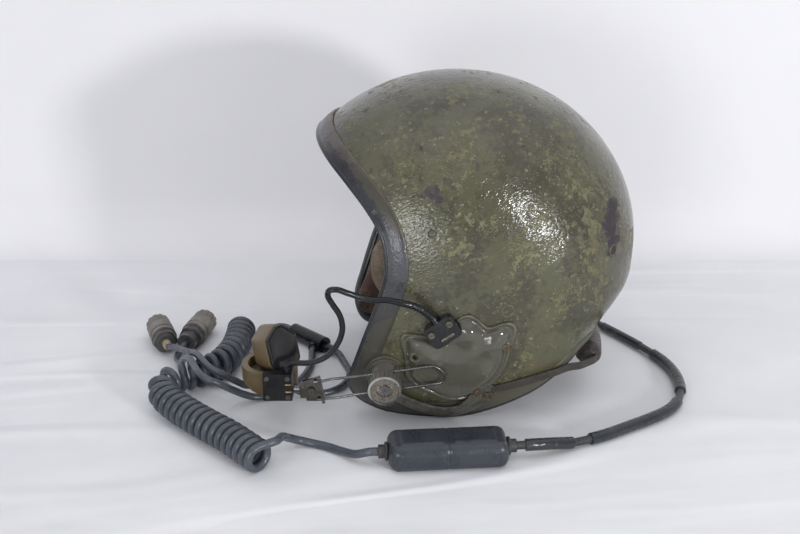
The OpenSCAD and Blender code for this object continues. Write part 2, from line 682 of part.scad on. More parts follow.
// Microphone: a block on the shaft, a slanted cup, and a gabled housing seated in it
cup_at = [-185, boom_y + 13];
cup_top = 53;
cup_seat = 44;
block_at = [-175.5, boom_y - 19.5, 44];
block_h = 25;
module cup_shape(r) { translate([cup_at.x, cup_at.y, 20]) cylinder(r = r, h = cup_top - 20, $fn = 64); }
module mic_block() {
    color(black) difference() {
        translate([block_at.x - mic_w / 2, block_at.y, block_at.z - block_h / 2]) cube([mic_w, 18, block_h]);
        cup_shape(collar_r + 0.02);
        translate([cup_at.x, cup_at.y, cup_top - 1]) cylinder(r = collar_r + 0.02, h = 30, $fn = 64);
        shaft_frame() translate([0, 0, -20]) cylinder(r = shaft_r + run_gap, h = 40);
        for (x = [-1, 1]) for (z = [-1, 1]) block_place(x, z) translate([0, 0, -3]) cylinder(r = 1.3, h = 8);
    }
}
block_inset = 3.6;
module block_place(x, z) {
    translate([block_at.x + x * (mic_w / 2 - block_inset), block_at.y,
        block_at.z + z * (block_h / 2 - block_inset)]) rotate([90, 0, 0]) children();
}
module block_screws() {
    color(steel) for (x = [-1, 1]) for (z = [-1, 1]) block_place(x, z) difference() {
        union() {
            translate([0, 0, 0.02]) cylinder(r = 2.2, h = 1.2);
            translate([0, 0, -2.5]) cylinder(r = 1.25, h = 3);
        }
        translate([-0.3, -3, 0.7]) cube([0.6, 6, 2]);
    }
}

face_at = [-172, boom_y + 5, 71];
mic_half = 13.5;
mic_eave = 9.3;
mic_ridge = 18.1;
mic_outline = [[-mic_half, -mic_ridge], [mic_half, -mic_ridge], [mic_half, mic_eave], [0, mic_ridge], [-mic_half, mic_eave]];
module face_frame() { translate(face_at) rotate([0, 0, 38]) rotate([70, 0, 0]) children(); }
module mic_prism(back, depth, grow) {
    face_frame() translate([0, 0, -back - depth]) linear_extrude(depth) offset(delta = grow) polygon(mic_outline);
}
module mic_collar() {
    color(brown) difference() {
        cup_shape(collar_r);
        translate([cup_at.x, cup_at.y, cup_seat]) cylinder(r = collar_r - collar_wall, h = 30, $fn = 64);
        translate([cup_at.x, cup_at.y, 36]) rotate(a = 16.5, v = [1, 1, 0]) translate([-50, -50, -60]) cube([100, 100, 60]);
        mic_prism(-5, mic_face_wall + mic_depth + 10, 0.03);
    }
}
module mic_housing() {
    color(brown) difference() {
        mic_prism(mic_face_wall + 0.02, mic_depth, 0);
        mic_prism(mic_face_wall - 1, mic_depth - 3, -3);
    }
}
module mic_face() {
    color(black) difference() {
        mic_prism(0, mic_face_wall, 0);
        face_frame() translate([0, 0, -1.2]) linear_extrude(5) offset(delta = -2.5) polygon(mic_outline);
        face_frame() for (x = [-2 : 2]) for (y = [-2 : 1])
            translate([x * 4, y * 4.4 - 1, -mic_face_wall + 1.5]) cylinder(r = 1, h = 10, $fn = 16);
    }
}

// Microphone cable: one route in three stretches that meet face to face
mic_cable_r = mic_cable_d / 2;
mic_entry = [-167.5, block_at.y + 6, block_at.z + block_h / 2];
mic_route_upper = concat([lead_end, lead_end + 5 * unit([-9, -1, 2.5])], beside_boom([[-91, -139.5, 132.5], [-103, -141.5, 136],
    [-113, -143.5, 140.5], [-121, -146, 144.5], [-127, -146, 144], [-129, -142, 137.5], [-125.5, -137.5, 127.5], [-121, -134, 118]]));
mic_route_lower = beside_boom([[-121, -134, 118], [-118.8, -132.2, 110.5], [-118.3, -131, 101], [-121, -130, 91], [-126, -129.3, 82]]);
mic_route_end = concat(beside_boom([[-126, -129.3, 82], [-132.5, -128.6, 75], [-141, -127.5, 70], [-150, -126, 67.5],
    [-158.5, -124, 66.5], [-164.8, -122.3, 65]]), [mic_entry + [0, 0, 5.2], mic_entry + [0, 0, 0.02]]);
mic_full = concat(mic_route_upper, [for (i = [1 : len(mic_route_lower) - 1]) mic_route_lower[i]],
    [for (i = [1 : len(mic_route_end) - 1]) mic_route_end[i]]);
// One stretch of a longer route: its end faces stay square to the whole route
module stretch(p, r, i0, i1, n = 8) {
    points = [for (i = [i0 : i1]) each ring_at(p[i], tangent(p, i), r, n)];
    count = i1 - i0 + 1;
    polyhedron(points, concat(
        ring_faces(count, n), cap_fan(0, n, true), cap_fan((count - 1) * n, n, false)));
}
split_a = len(mic_route_upper) - 1;
split_b = split_a + len(mic_route_lower) - 1;
module mic_cable_upper() { color(rubber) stretch(mic_full, mic_cable_r, 0, split_a); }
module mic_cable_lower() { color(rubber) stretch(mic_full, mic_cable_r, split_a, split_b); }
module mic_cable_end() { color(rubber) stretch(mic_full, mic_cable_r, split_b, len(mic_full) - 1); }

// Main cable: from the gland on the right side, round the nape, to the in-line box
cable_r = cable_d / 2;
floor_gap = 0.1;
gland_x = 37;
gland_z = 61;
gland_turn = 37;
gland_half = 10;
gland_lift = 12.5;
gland_face = side_y(gland_x, gland_z) + gland_lift;
module gland_frame() {
    translate([gland_x, gland_face, gland_z]) rotate([90, 0, 0]) rotate([0, 0, -gland_turn]) children();
}
gland_dir = [cos(gland_turn), 0, -sin(gland_turn)];
gland_exit = [gland_x, gland_face - 5.4, gland_z] + (gland_half + 0.02) * gland_dir;
module cable_gland() {
    color(rubber) difference() {
        gland_frame() round_box(2 * gland_half, 13, 24, 3);
        side_seat(gland_x - 22, gland_x + 22, gland_z - 22, gland_z + 22, 6);
    }
}
box_at = [-30.4, -174 * broad];
box_turn = 4.8;
box_dir = [cos(box_turn), sin(box_turn), 0];
gland_l = 8;
function box_point(x) = [box_at.x, box_at.y, box_h / 2] + x * box_dir;
main_low = sleeve_d / 2 + floor_gap;
function lift(p, h) = [for (q = p) q + [0, 0, h]];
main_ground = lift(broad_y([[105, 107.5, 0.5], [118, 101, 0], [129.5, 91, 0], [140, 77, 0], [150, 62.5, 0], [160, 47, 0],
    [170, 31, 0], [179, 14, 0], [186.5, -3, 0], [191, -22, 0], [192, -43, 0], [189, -63, 0],
    [182, -82, 0], [169.5, -98.5, 0], [152, -112, 0], [131, -125.5, 0], [111, -138, 0], [93, -147, 0], [77, -154.5, 1]]), main_low);
main_route = concat([gland_exit, gland_exit + 7.5 * gland_dir],
    broad_y([[59, 117.2, 43], [70, 115, 34], [82, 113, 22], [93, 110.5, 11.5]]),
    main_ground, broad_y([[61, -161, 9.5], [47.5, -166.3, box_h / 2 - 0.5]]),
    [box_point(box_l / 2 + gland_l + 7.5), box_point(box_l / 2 + gland_l + 0.02)]);
module main_cable() { color(rubber) tube(main_route, cable_r); }
sleeve_spans = [[9, 12], [13, 17], [18, 23], [24, 26]];
module cable_sleeves() {
    color(rubber) difference() {
        for (q = sleeve_spans) stretch(main_route, sleeve_d / 2, q[0], q[1]);
        tube(main_route, cable_r + run_gap);
    }
}

// In-line box: two halves that meet in the middle, with a gland at each end
box_wall = 2.5;
box_round = 8;
module box_frame() { translate([box_at.x, box_at.y, 0]) rotate([0, 0, box_turn]) children(); }
module box_body() {
    difference() {
        union() {
            translate([0, 0, 1.5]) round_box(box_l, box_w, box_h - 3, box_round);
            round_box(box_l - 3, box_w - 3, box_h, box_round - 1.5);
            for (x = [-1, 1]) translate([x * box_l / 4, 0, 1]) round_box(box_l / 2 - 14, box_w - 10, box_h, 4);
        }
        translate([0, 0, box_wall]) round_box(box_l - 2 * box_wall, box_w - 2 * box_wall, box_h - 2 * box_wall, box_round - box_wall);
    }
}
module box_left_half() {
    color(black) box_frame() difference() {
        box_body();
        translate([-0.02, -40, -5]) cube([90, 80, 50]);
    }
}
module box_right_half() {
    color(black) box_frame() difference() {
        box_body();
        translate([-89.98, -40, -5]) cube([90, 80, 50]);
    }
}
module box_glands() {
    color(rubber) box_frame() for (s = [0, 180]) rotate([0, 0, s]) translate([box_l / 2 + 0.02, 0, box_h / 2]) rotate([0, 90, 0]) {
        cylinder(r = 8, h = 2.5);
        cylinder(r = cable_r + 2.2, h = gland_l - 0.02);
    }
}

// Curly cord: a helix round an axis that lies on the table; it opens up in the bends
curl_r = curl_d / 2 - cable_r;
curl_z = curl_d / 2 + floor_gap;
curl_gap = 0.55;
curl_line = [[-168, -210], [-184, -192], [-213, -160], [-239, -136], [-263, -112], [-280, -91],
    [-286, -72], [-277, -54], [-258, -43], [-243, -28], [-235, -8], [-231, 14], [-230, 38], [-231, 62], [-233, 86]];
curl_axis = [for (p = curl_line) [p.x, p.y * broad]];
curl_end = len(curl_axis) - 3;
function axis_at(u) =
    let (i = min(floor(u), curl_end - 1) + 1)
    curve(curl_axis[i - 1], curl_axis[i], curl_axis[i + 1], curl_axis[i + 2], u - (i - 1));
function axis_dir(u) = unit(axis_at(min(u + 0.02, curl_end)) - axis_at(max(u - 0.02, 0)));
function axis_speed(u) = norm(axis_at(min(u + 0.1, curl_end)) - axis_at(max(u - 0.1, 0))) / (min(u + 0.1, curl_end) - max(u - 0.1, 0));
function axis_bend(u) =
    let (a = axis_dir(max(u - 0.35, 0)), b = axis_dir(min(u + 0.35, curl_end)))
    acos(min(1, a * b)) * PI / 180 / (axis_speed(u) * 0.7);
function curl_pitch(u) = (cable_d + curl_gap) / (1 - (curl_r + 1.2) * min(axis_bend(u), 0.045)) + 0.9;
curl_steps = [for (i = 0, u = 0; u < curl_end; i = i + 1, u = u + curl_pitch(u) / 8 / axis_speed(u)) u];
curl_count = floor((len(curl_steps) - 5) / 8) * 8 + 4;
function curl_point(i) =
    let (u = curl_steps[i], t = axis_dir(u), f = 90 + 45 * i, c = axis_at(u))
    [c.x, c.y, curl_z] + curl_r * (cos(f) * [t.y, -t.x, 0] + sin(f) * [0, 0, 1]);
curl_core = [for (i = [0 : curl_count]) curl_point(i)];
// Least gap from one curl to the next, measured on the points of the cord's middle line
curl_gaps = [for (i = [0 : curl_count - 5]) for (j = [i + 5 : min(curl_count, i + 20)])
    norm(curl_core[i] - curl_core[j]) - cable_d];
echo(least_gap_between_curls = min(curl_gaps));
curl_in = unit(flat_dir(curl_core[1] - curl_core[0], axis_dir(0)));
curl_out = unit(flat_dir(curl_core[curl_count] - curl_core[curl_count - 1], axis_dir(curl_steps[curl_count])));
function flat_dir(v, t) =
    let (b = [t.y, -t.x, 0], s = v * b > 0 ? 1 : -1, k = [t.x, t.y, 0] * 0.12)
    s * b + k;
curl_route = concat([curl_core[0] - cable_d * curl_in], curl_core, [curl_core[curl_count] + cable_d * curl_out]);
module curly_cord() { color(rubber) tube(curl_route, cable_r, 6); }

// Feed cable, from the box to the start of the curly cord
feed_end = curl_route[0];
feed_route = concat([box_point(-box_l / 2 - gland_l - 0.02), box_point(-box_l / 2 - gland_l - 7.5)],
    broad_y([[-107, -175.5, box_h / 2 - 4.5]]),
    lift(broad_y([[-119, -165.5, 1], [-131, -157, 0], [-144, -151.5, 0], [-156, -151.5, 3], [-164, -157.5, 9], [-168.5, -167, 16]]),
        cable_r + floor_gap),
    [feed_end - 8 * curl_in, feed_end]);
module feed_cable() { color(rubber) tube(feed_route, cable_r); }

// Tail and junction: the curly cord divides into two plug cables
junction_r = 8;
junction_z = junction_r + floor_gap;
junction_a = [-178, 60 * broad, junction_z];
junction_dir = unit([43, -42, 0]);
junction_l = 46;
tail_start = curl_route[len(curl_route) - 1];
tail_route = concat([tail_start, tail_start + 7.5 * curl_out],
    broad_y([[-205, 69.5, 5], [-196, 72, 7], [-189.5, 69.8, junction_z]]),
    [junction_a - 7.5 * junction_dir, junction_a - 0.02 * junction_dir]);
module coil_tail() { color(rubber) tube(tail_route, cable_r); }
plug_cable_r = plug_cable_d / 2;
nozzle_r = plug_cable_r + 1.6;
nozzle_z = nozzle_r + floor_gap + 1.2;
nozzle_a = [junction_a.x, junction_a.y, nozzle_z] + (junction_l + 12) * junction_dir;
nozzle_b = [junction_a.x + 21.5, junction_a.y - 36, nozzle_z];
nozzle_dir_b = unit([-0.05, -1, 0]);
module rod(a, b, r) {
    translate(a) rotate([0, acos((b - a).z / norm(b - a)), atan2((b - a).y, (b - a).x)])
        cylinder(r = r, h = norm(b - a));
}
module y_junction() {
    b = junction_a + junction_l * junction_dir;
    color(rubber) {
        rod(junction_a, b, junction_r);
        rod([b.x, b.y, nozzle_z] - 6 * junction_dir, nozzle_a, nozzle_r);
        rod(nozzle_b - 17 * nozzle_dir_b, nozzle_b, nozzle_r);
    }
}

// Plug cables
plug_low = plug_cable_r + floor_gap;
plug_z = plug_r + floor_gap;
plug_a = [-301, 22 * broad, plug_z];
plug_b = [-282, 22 * broad, plug_z];
plug_dir_a = unit([-19, 49, 0]);
plug_dir_b = unit([13, 63, 0]);
plug_route_a = concat([nozzle_a + 0.02 * junction_dir, nozzle_a + 7 * junction_dir],
    lift(broad_y([[-124, -2, 0], [-118, -24, 0], [-121, -42, 0], [-130, -56, 0], [-144, -63.5, 0], [-160, -64.5, 2],
        [-175, -61.5, 7.3], [-190, -58.5, 7.3], [-201, -60, 8]]), plug_low),
    broad_y([[-211, -66, 13.5], [-220, -73, 22], [-230, -76.5, 30], [-240.5, -73.5, 34], [-249, -62, 34.8], [-255.5, -50, 34.8],
        [-262.5, -37, 32], [-271, -22, 25.5], [-281, -7, 20.5], [-290, 5, 17]]),
    [plug_a - 7 * plug_dir_a, plug_a - 0.02 * plug_dir_a]);
plug_route_b = concat([nozzle_b + 0.02 * nozzle_dir_b, nozzle_b + 7 * nozzle_dir_b],
    lift(broad_y([[-156.5, 0, 0], [-160, -24, 0], [-167.5, -43, 0], [-177, -58, 0], [-189, -67, 0], [-202, -71, 0.6], [-212, -76, 6]]),
        plug_low),
    broad_y([[-221, -84, 18.5], [-230, -92.5, 28.5], [-240, -95, 34.5], [-248.5, -87.5, 36], [-256, -72, 35.5], [-263.5, -55, 34.8],
        [-271.5, -38, 28], [-278, -22, 15], [-284, -8, 8.5], [-287.3, 2, 8]]),
    [plug_b - 14 * plug_dir_b + [-1.2, 0, -2.6], plug_b - 7 * plug_dir_b, plug_b - 0.02 * plug_dir_b]);
module plug_cable_a() { color(rubber) tube(plug_route_a, plug_cable_r); }
module plug_cable_b() { color(rubber) tube(plug_route_b, plug_cable_r); }

// Plugs: a back shell with six flats, a body, a contact nose and a coupling ring
shell_len_a = 12;
shell_len_b = 21;
ring_l = 14;
ring_r = plug_r - 0.4;
spigot_r = 9.5;
module plug_frame(p, d) { translate(p) rotate([0, 0, atan2(d.y, d.x)]) rotate([0, 90, 0]) children(); }
module backshell(l) {
    color(black) {
        cylinder(r = plug_r - 3.4, h = l - 0.02);
        intersection() {
            translate([0, 0, l - 9]) cylinder(r = plug_r - 1, h = 7);
            for (a = [0, 60, 120]) rotate(a) translate([-plug_r + 1.6, -plug_r / 2, 0]) cube([2 * plug_r - 3.2, plug_r, 60]);
        }
    }
}
module plug_body(l) {
    color(rubber) difference() {
        union() {
            translate([0, 0, l]) cylinder(r = plug_r, h = plug_l);
            translate([0, 0, l]) cylinder(r = spigot_r, h = plug_l + ring_l);
            translate([0, 0, l]) cylinder(r = nose_r, h = plug_l + ring_l + nose_l);
        }
        for (a = [0 : 45 : 315]) rotate(a) translate([nose_r * 0.6, 0, l + plug_l + ring_l + nose_l - 3]) cylinder(r = 0.9, h = 8, $fn = 16);
        translate([0, 0, l + 5]) rotate_extrude() translate([plug_r - 0.6, 0]) square([3, 2.5]);
    }
}
module coupling_ring(l) {
    color(rubber) translate([0, 0, l + plug_l + run_gap]) difference() {
        cylinder(r = ring_r, h = ring_l - 2 * run_gap);
        translate([0, 0, -1]) cylinder(r = spigot_r + run_gap, h = 30);
        for (a = [0 : 30 : 330]) rotate(a) translate([ring_r + 0.9, 0, 2.5]) cylinder(r = 1.7, h = 30);
    }
}
module plug_backshell_a() { plug_frame(plug_a, plug_dir_a) backshell(shell_len_a); }
module plug_backshell_b() { plug_frame(plug_b, plug_dir_b) backshell(shell_len_b); }
module plug_body_a() { plug_frame(plug_a, plug_dir_a) plug_body(shell_len_a); }
module plug_body_b() { plug_frame(plug_b, plug_dir_b) plug_body(shell_len_b); }
module coupling_ring_a() { plug_frame(plug_a, plug_dir_a) coupling_ring(shell_len_a); }
module coupling_ring_b() { plug_frame(plug_b, plug_dir_b) coupling_ring(shell_len_b); }

shell();
rim_trim();
impact_liner();
crown_pad();
brow_pad();
nape_pad();
ear_pad_left();
ear_pad_right();
ear_cup_left();
ear_cup_right();
earphone_left();
earphone_right();
side_cover_left();
side_cover_right();
cover_screws();
cable_gland();
connector_block();
connector_screws();
lead_sleeve();
side_strap_left();
side_strap_right();
strap_rivets();
nape_strap_left();
nape_strap_right();
nape_roll();
boom_base();
clamp_pin();
clamp_drum();
clamp_knob();
knob_face();
boom_wire();
mic_bracket();
bracket_screw();
mic_shaft();
mic_block();
block_screws();
mic_collar();
mic_housing();
mic_face();
mic_cable_upper();
mic_cable_lower();
mic_cable_end();
main_cable();
cable_sleeves();
box_left_half();
box_right_half();
box_glands();
feed_cable();
curly_cord();
coil_tail();
y_junction();
plug_cable_a();
plug_cable_b();
plug_backshell_a();
plug_backshell_b();
plug_body_a();
plug_body_b();
coupling_ring_a();
coupling_ring_b();
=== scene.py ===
import math
import bmesh
import bpy
import numpy as np
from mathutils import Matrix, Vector


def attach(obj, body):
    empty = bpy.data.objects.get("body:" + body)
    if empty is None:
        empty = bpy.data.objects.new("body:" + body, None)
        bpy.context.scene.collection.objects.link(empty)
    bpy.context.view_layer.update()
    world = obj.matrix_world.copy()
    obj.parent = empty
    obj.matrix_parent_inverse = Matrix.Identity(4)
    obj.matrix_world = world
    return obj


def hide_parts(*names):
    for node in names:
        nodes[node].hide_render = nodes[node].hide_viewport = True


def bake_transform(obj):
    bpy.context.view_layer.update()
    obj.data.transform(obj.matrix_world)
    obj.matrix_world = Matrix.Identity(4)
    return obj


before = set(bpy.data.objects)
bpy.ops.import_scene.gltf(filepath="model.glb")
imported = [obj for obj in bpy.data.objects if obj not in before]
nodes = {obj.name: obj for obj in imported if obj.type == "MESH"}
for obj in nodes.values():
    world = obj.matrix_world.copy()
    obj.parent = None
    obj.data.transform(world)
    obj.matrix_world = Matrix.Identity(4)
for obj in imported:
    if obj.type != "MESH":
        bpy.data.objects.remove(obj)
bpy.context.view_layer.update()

scene = bpy.context.scene
scene.view_settings.view_transform = "Standard"
bothSides = (("Left", -1), ("Right", 1))


# camera, at the photograph's angle
viewCamera = {"place": (-0.07, -1, 0.52), "tilt": 67.4, "lens": 51.75, "sensor": 36}
cameraData = bpy.data.cameras.new("viewCamera")
cameraData.lens, cameraData.sensor_width = viewCamera["lens"], viewCamera["sensor"]
camera = bpy.data.objects.new("viewCamera", cameraData)
camera.location = viewCamera["place"]
camera.rotation_euler = (math.radians(viewCamera["tilt"]), 0, 0)
scene.collection.objects.link(camera)
scene.camera = camera
print("camera in place")


# small helpers for meshes; all lengths below are in millimetres
def unitOf(v):
    v = np.asarray(v, float)
    return v / np.linalg.norm(v, axis=-1, keepdims=True)


def turns(count):
    return np.arange(count) * 2 * math.pi / count


def soften(t):
    t = np.clip(t, 0, 1)
    return t * t * (3 - 2 * t)


def bowed(a, b, c, d, t):
    # the curve between the middle two of four values
    return 0.5 * (2 * b + (c - a) * t + (2 * a - 5 * b + 4 * c - d) * t * t + (3 * b - a - 3 * c + d) * t ** 3)


def rotated(u, v, turn):
    return u * math.cos(turn) - v * math.sin(turn), u * math.sin(turn) + v * math.cos(turn)


def gridFaces(rows, cols, loopCols=True, loopRows=False):
    faces = []
    for j in range(rows if loopRows else rows - 1):
        for i in range(cols if loopCols else cols - 1):
            a, b = j * cols + i, j * cols + (i + 1) % cols
            c, d = (j + 1) % rows * cols + i, (j + 1) % rows * cols + (i + 1) % cols
            faces.append((a, b, d, c))
    return faces


def tubeFaces(rows, cols):
    return gridFaces(rows, cols) + [tuple(range(cols)), tuple((rows - 1) * cols + i for i in range(cols))]


def domeFaces(rows, cols):
    # rings between a first and a last point
    last, lastRow = rows * cols + 1, 1 + (rows - 1) * cols
    faces = [(0, 1 + i, 1 + (i + 1) % cols) for i in range(cols)]
    faces += [tuple(v + 1 for v in face) for face in gridFaces(rows, cols)]
    return faces + [(last, lastRow + (i + 1) % cols, lastRow + i) for i in range(cols)]


def addPiece(name, points, faces, finishes, faceFinish=None, sharp=None, body="helmet", slot=None,
        replaces=()):
    mesh = bpy.data.meshes.new(name)
    mesh.from_pydata((np.asarray(points, float) * 0.001).tolist(), [], faces)
    for finish in finishes:
        mesh.materials.append(finish)
    if faceFinish is not None:
        mesh.polygons.foreach_set("material_index", faceFinish)
    shape = bmesh.new()
    shape.from_mesh(mesh)
    bmesh.ops.recalc_face_normals(shape, faces=shape.faces)
    shape.to_mesh(mesh)
    shape.free()
    mesh.polygons.foreach_set("use_smooth", [True] * len(mesh.polygons))
    if sharp:
        mesh.set_sharp_from_angle(angle=math.radians(sharp))
    piece = bpy.data.objects.new(name, mesh)
    scene.collection.objects.link(piece)
    if body:
        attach(piece, body)
    if replaces:
        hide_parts(*replaces)
    return piece


def smoothLine(points, step=2.0, marks=False):
    p = np.asarray(points, float)
    p = np.vstack([2 * p[0] - p[1], p, 2 * p[-1] - p[-2]])
    out, at = [], []
    for i in range(1, len(p) - 2):
        p0, p1, p2, p3 = p[i - 1:i + 3]
        a, b, c = [max(np.linalg.norm(v), 1e-6) ** 0.5 for v in (p1 - p0, p2 - p1, p3 - p2)]
        m1 = (p2 - p1) + b * ((p1 - p0) / a - (p2 - p0) / (a + b))
        m2 = (p2 - p1) + b * ((p3 - p2) / c - (p3 - p1) / (b + c))
        count = max(1, round(float(np.linalg.norm(p2 - p1)) / step))
        at.append(len(out))
        for k in range(count):
            s = k / count
            out.append((2 * s**3 - 3 * s * s + 1) * p1 + (s**3 - 2 * s * s + s) * m1
                       + (3 * s * s - 2 * s**3) * p2 + (s**3 - s * s) * m2)
    at.append(len(out))
    out.append(p[-2])
    return (np.array(out), at) if marks else np.array(out)


def tubeRings(path, radii, sides):
    path = np.asarray(path, float)
    along = unitOf(np.gradient(path, axis=0))
    side = np.cross(along[0], [0, 0, 1.0])
    if np.linalg.norm(side) < 0.1:
        side = np.cross(along[0], [1.0, 0, 0])
    turn = turns(sides)[:, None]
    points = []
    for c, t, r in zip(path, along, np.broadcast_to(radii, len(path))):
        side = unitOf(side - np.dot(side, t) * t)
        points.append(c + r * (np.cos(turn) * side + np.sin(turn) * np.cross(side, t)))
    return np.vstack(points)


def addTube(name, path, radii, material, sides=18, **more):
    return addPiece(name, tubeRings(path, radii, sides), tubeFaces(len(path), sides), [material], sharp=60,
        **more)


def addLoop(name, path, radius, material, slot):
    # a thin ring that closes on itself
    points = tubeRings(np.vstack([path, path[:2]]), radius, 8)[8:-8]
    return addPiece(name, points, gridFaces(len(points) // 8, 8, loopRows=True), [material], slot=slot)


def reachAlong(path):
    return np.concatenate([[0], np.cumsum(np.linalg.norm(np.diff(np.asarray(path, float), axis=0), axis=1))])


def spreadOn(path, count):
    reach = reachAlong(path)
    return np.stack([np.interp(np.linspace(0, reach[-1], count), reach, path[:, k]) for k in range(3)], 1)


# node helpers for materials and groups
def setOrLink(tree, socket, value):
    if isinstance(value, (int, float)):
        socket.default_value = value
    elif isinstance(value, tuple):
        socket.default_value = (*value, 1)
    else:
        tree.links.new(value, socket)


def addNode(tree, kind, **values):
    node = tree.nodes.new("ShaderNode" + kind)
    for key, value in values.items():
        if key.startswith("in_"):
            node.inputs[key[3:].replace("_", " ")].default_value = value
        else:
            setattr(node, key, value)
    return node


def newGroup(name, inputs, outputs):
    group = bpy.data.node_groups.new(name, "ShaderNodeTree")
    for label, kind, value in inputs:
        socket = group.interface.new_socket(label, in_out="INPUT", socket_type="NodeSocket" + kind)
        socket.default_value = value
    for label, kind in outputs:
        group.interface.new_socket(label, in_out="OUTPUT", socket_type="NodeSocket" + kind)
    return group, group.nodes.new("NodeGroupInput").outputs, group.nodes.new("NodeGroupOutput").inputs


def calculate(tree, operation, a, b=0):
    node = addNode(tree, "Math", operation=operation)
    setOrLink(tree, node.inputs[0], a)
    setOrLink(tree, node.inputs[1], b)
    return node.outputs[0]


def times(tree, a, b):
    return calculate(tree, "MULTIPLY", a, b)


def plus(tree, a, b):
    return calculate(tree, "ADD", a, b)


def minus(tree, a, b):
    return calculate(tree, "SUBTRACT", a, b)


def larger(tree, a, b):
    return calculate(tree, "MAXIMUM", a, b)


def objectPlace(tree):
    return addNode(tree, "TexCoord").outputs["Object"]


def apart(tree, vector):
    split = addNode(tree, "SeparateXYZ")
    tree.links.new(vector, split.inputs[0])
    return split.outputs


def stretched(tree, vector, factors):
    node = addNode(tree, "VectorMath", operation="MULTIPLY")
    node.inputs[1].default_value = factors
    tree.links.new(vector, node.inputs[0])
    return node.outputs["Vector"]


def leaned(tree, axis, angle):
    node = addNode(tree, "VectorRotate", rotation_type="AXIS_ANGLE")
    node.inputs["Axis"].default_value = axis
    tree.links.new(objectPlace(tree), node.inputs["Vector"])
    setOrLink(tree, node.inputs["Angle"], angle)
    return node.outputs["Vector"]


def fieldNoise(tree, scale, detail=4, roughness=0.55, vector=None, distortion=0):
    noise = addNode(tree, "TexNoise", in_Detail=detail, in_Roughness=roughness, in_Distortion=distortion)
    setOrLink(tree, noise.inputs["Scale"], scale)
    tree.links.new(objectPlace(tree) if vector is None else vector, noise.inputs["Vector"])
    return noise.outputs["Fac"]


def evenNoise(tree, *values):
    # the same around zero
    return minus(tree, fieldNoise(tree, *values), 0.5)


def stepMask(tree, value, low, high):
    ramp = addNode(tree, "MapRange", interpolation_type="SMOOTHSTEP")
    tree.links.new(value, ramp.inputs["Value"])
    setOrLink(tree, ramp.inputs["From Min"], low)
    setOrLink(tree, ramp.inputs["From Max"], high)
    return ramp.outputs["Result"]


# patches where a coat is worn or stained: large islands with a ragged edge
def makeWornPatches():
    group, given, result = newGroup("wornPatches", [
        ("Scale", "Float", 20), ("Threshold", "Float", 0.6), ("Softness", "Float", 0.03),
        ("Ragged", "Float", 0.35)],
        [("Mask", "Float")])
    broad = fieldNoise(group, given["Scale"], 3, 0.5)
    fine = evenNoise(group, times(group, given["Scale"], 7), 5, 0.7)
    total = plus(group, broad, times(group, fine, given["Ragged"]))
    low = minus(group, given["Threshold"], given["Softness"])
    high = plus(group, given["Threshold"], given["Softness"])
    group.links.new(stepMask(group, total, low, high), result["Mask"])
    return group


# two colours that drift into each other
def makeColourDrift():
    group, given, result = newGroup("colourDrift", [
        ("First", "Color", (0.1, 0.1, 0.1, 1)), ("Second", "Color", (0.2, 0.2, 0.2, 1)),
        ("Scale", "Float", 12)],
        [("Color", "Color"), ("Mask", "Float")])
    field = stepMask(group, fieldNoise(group, given["Scale"], 6, 0.62), 0.35, 0.65)
    group.links.new(blendColour(group, field, given["First"], given["Second"]), result["Color"])
    group.links.new(field, result["Mask"])
    return group


# fine grain with an even spread: moulded plastic, rubber, cast metal
def makeFineGrain():
    group, given, result = newGroup("fineGrain", [("Scale", "Float", 900), ("Lumps", "Float", 0.4)],
        [("Height", "Float")])
    grain = fieldNoise(group, given["Scale"], 3, 0.6)
    lumps = fieldNoise(group, times(group, given["Scale"], 0.12), 2, 0.5)
    group.links.new(plus(group, grain, times(group, lumps, given["Lumps"])), result["Height"])
    return group


# hair-thin scratches that run mostly one way, in patches
def makeThinScratches():
    group, given, result = newGroup("thinScratches", [
        ("Scale", "Float", 60), ("Amount", "Float", 0.5), ("Lean", "Float", 0.6)], [("Mask", "Float")])
    lay = stretched(group, leaned(group, (0.3, 1, 0.2), given["Lean"]), (1, 1, 14))
    ridge = calculate(group, "ABSOLUTE", evenNoise(group, given["Scale"], 2, 0.5, lay, 0.4))
    line = minus(group, 1, stepMask(group, ridge, 0.004, 0.014))
    where = stepMask(group, fieldNoise(group, 35, 2), 0.45, 0.6)
    group.links.new(times(group, times(group, line, where), given["Amount"]), result["Mask"])
    return group


# leather: small cells with soft creases over broad folds
def makeLeatherGrain():
    group, given, result = newGroup("leatherGrain", [("Cells", "Float", 700), ("Folds", "Float", 60)],
                                    [("Height", "Float"), ("Crease", "Float")])
    cells = addNode(group, "TexVoronoi", feature="DISTANCE_TO_EDGE")
    group.links.new(objectPlace(group), cells.inputs["Vector"])
    group.links.new(given["Cells"], cells.inputs["Scale"])
    crease = stepMask(group, cells.outputs["Distance"], 0, 0.16)
    folds = fieldNoise(group, given["Folds"], 5, 0.6, None, 0.6)
    group.links.new(plus(group, times(group, crease, 0.35), folds), result["Height"])
    group.links.new(times(group, crease, stepMask(group, folds, 0.3, 0.6)), result["Crease"])
    return group


# dust that settles on what faces up
def makeSettledDust():
    group, given, result = newGroup("settledDust", [("Scale", "Float", 40), ("Amount", "Float", 0.5)],
        [("Mask", "Float")])
    up = stepMask(group, apart(group, addNode(group, "NewGeometry").outputs["Normal"])["Z"], 0.1, 0.95)
    spots = stepMask(group, fieldNoise(group, given["Scale"], 6, 0.7), 0.35, 0.7)
    group.links.new(times(group, times(group, up, spots), given["Amount"]), result["Mask"])
    return group


def blend(tree, kind, places, mask, first, second):
    mix = addNode(tree, "Mix", data_type=kind)
    tree.links.new(mask, mix.inputs[0])
    setOrLink(tree, mix.inputs[places[0]], first)
    setOrLink(tree, mix.inputs[places[1]], second)
    return mix.outputs[places[2]]


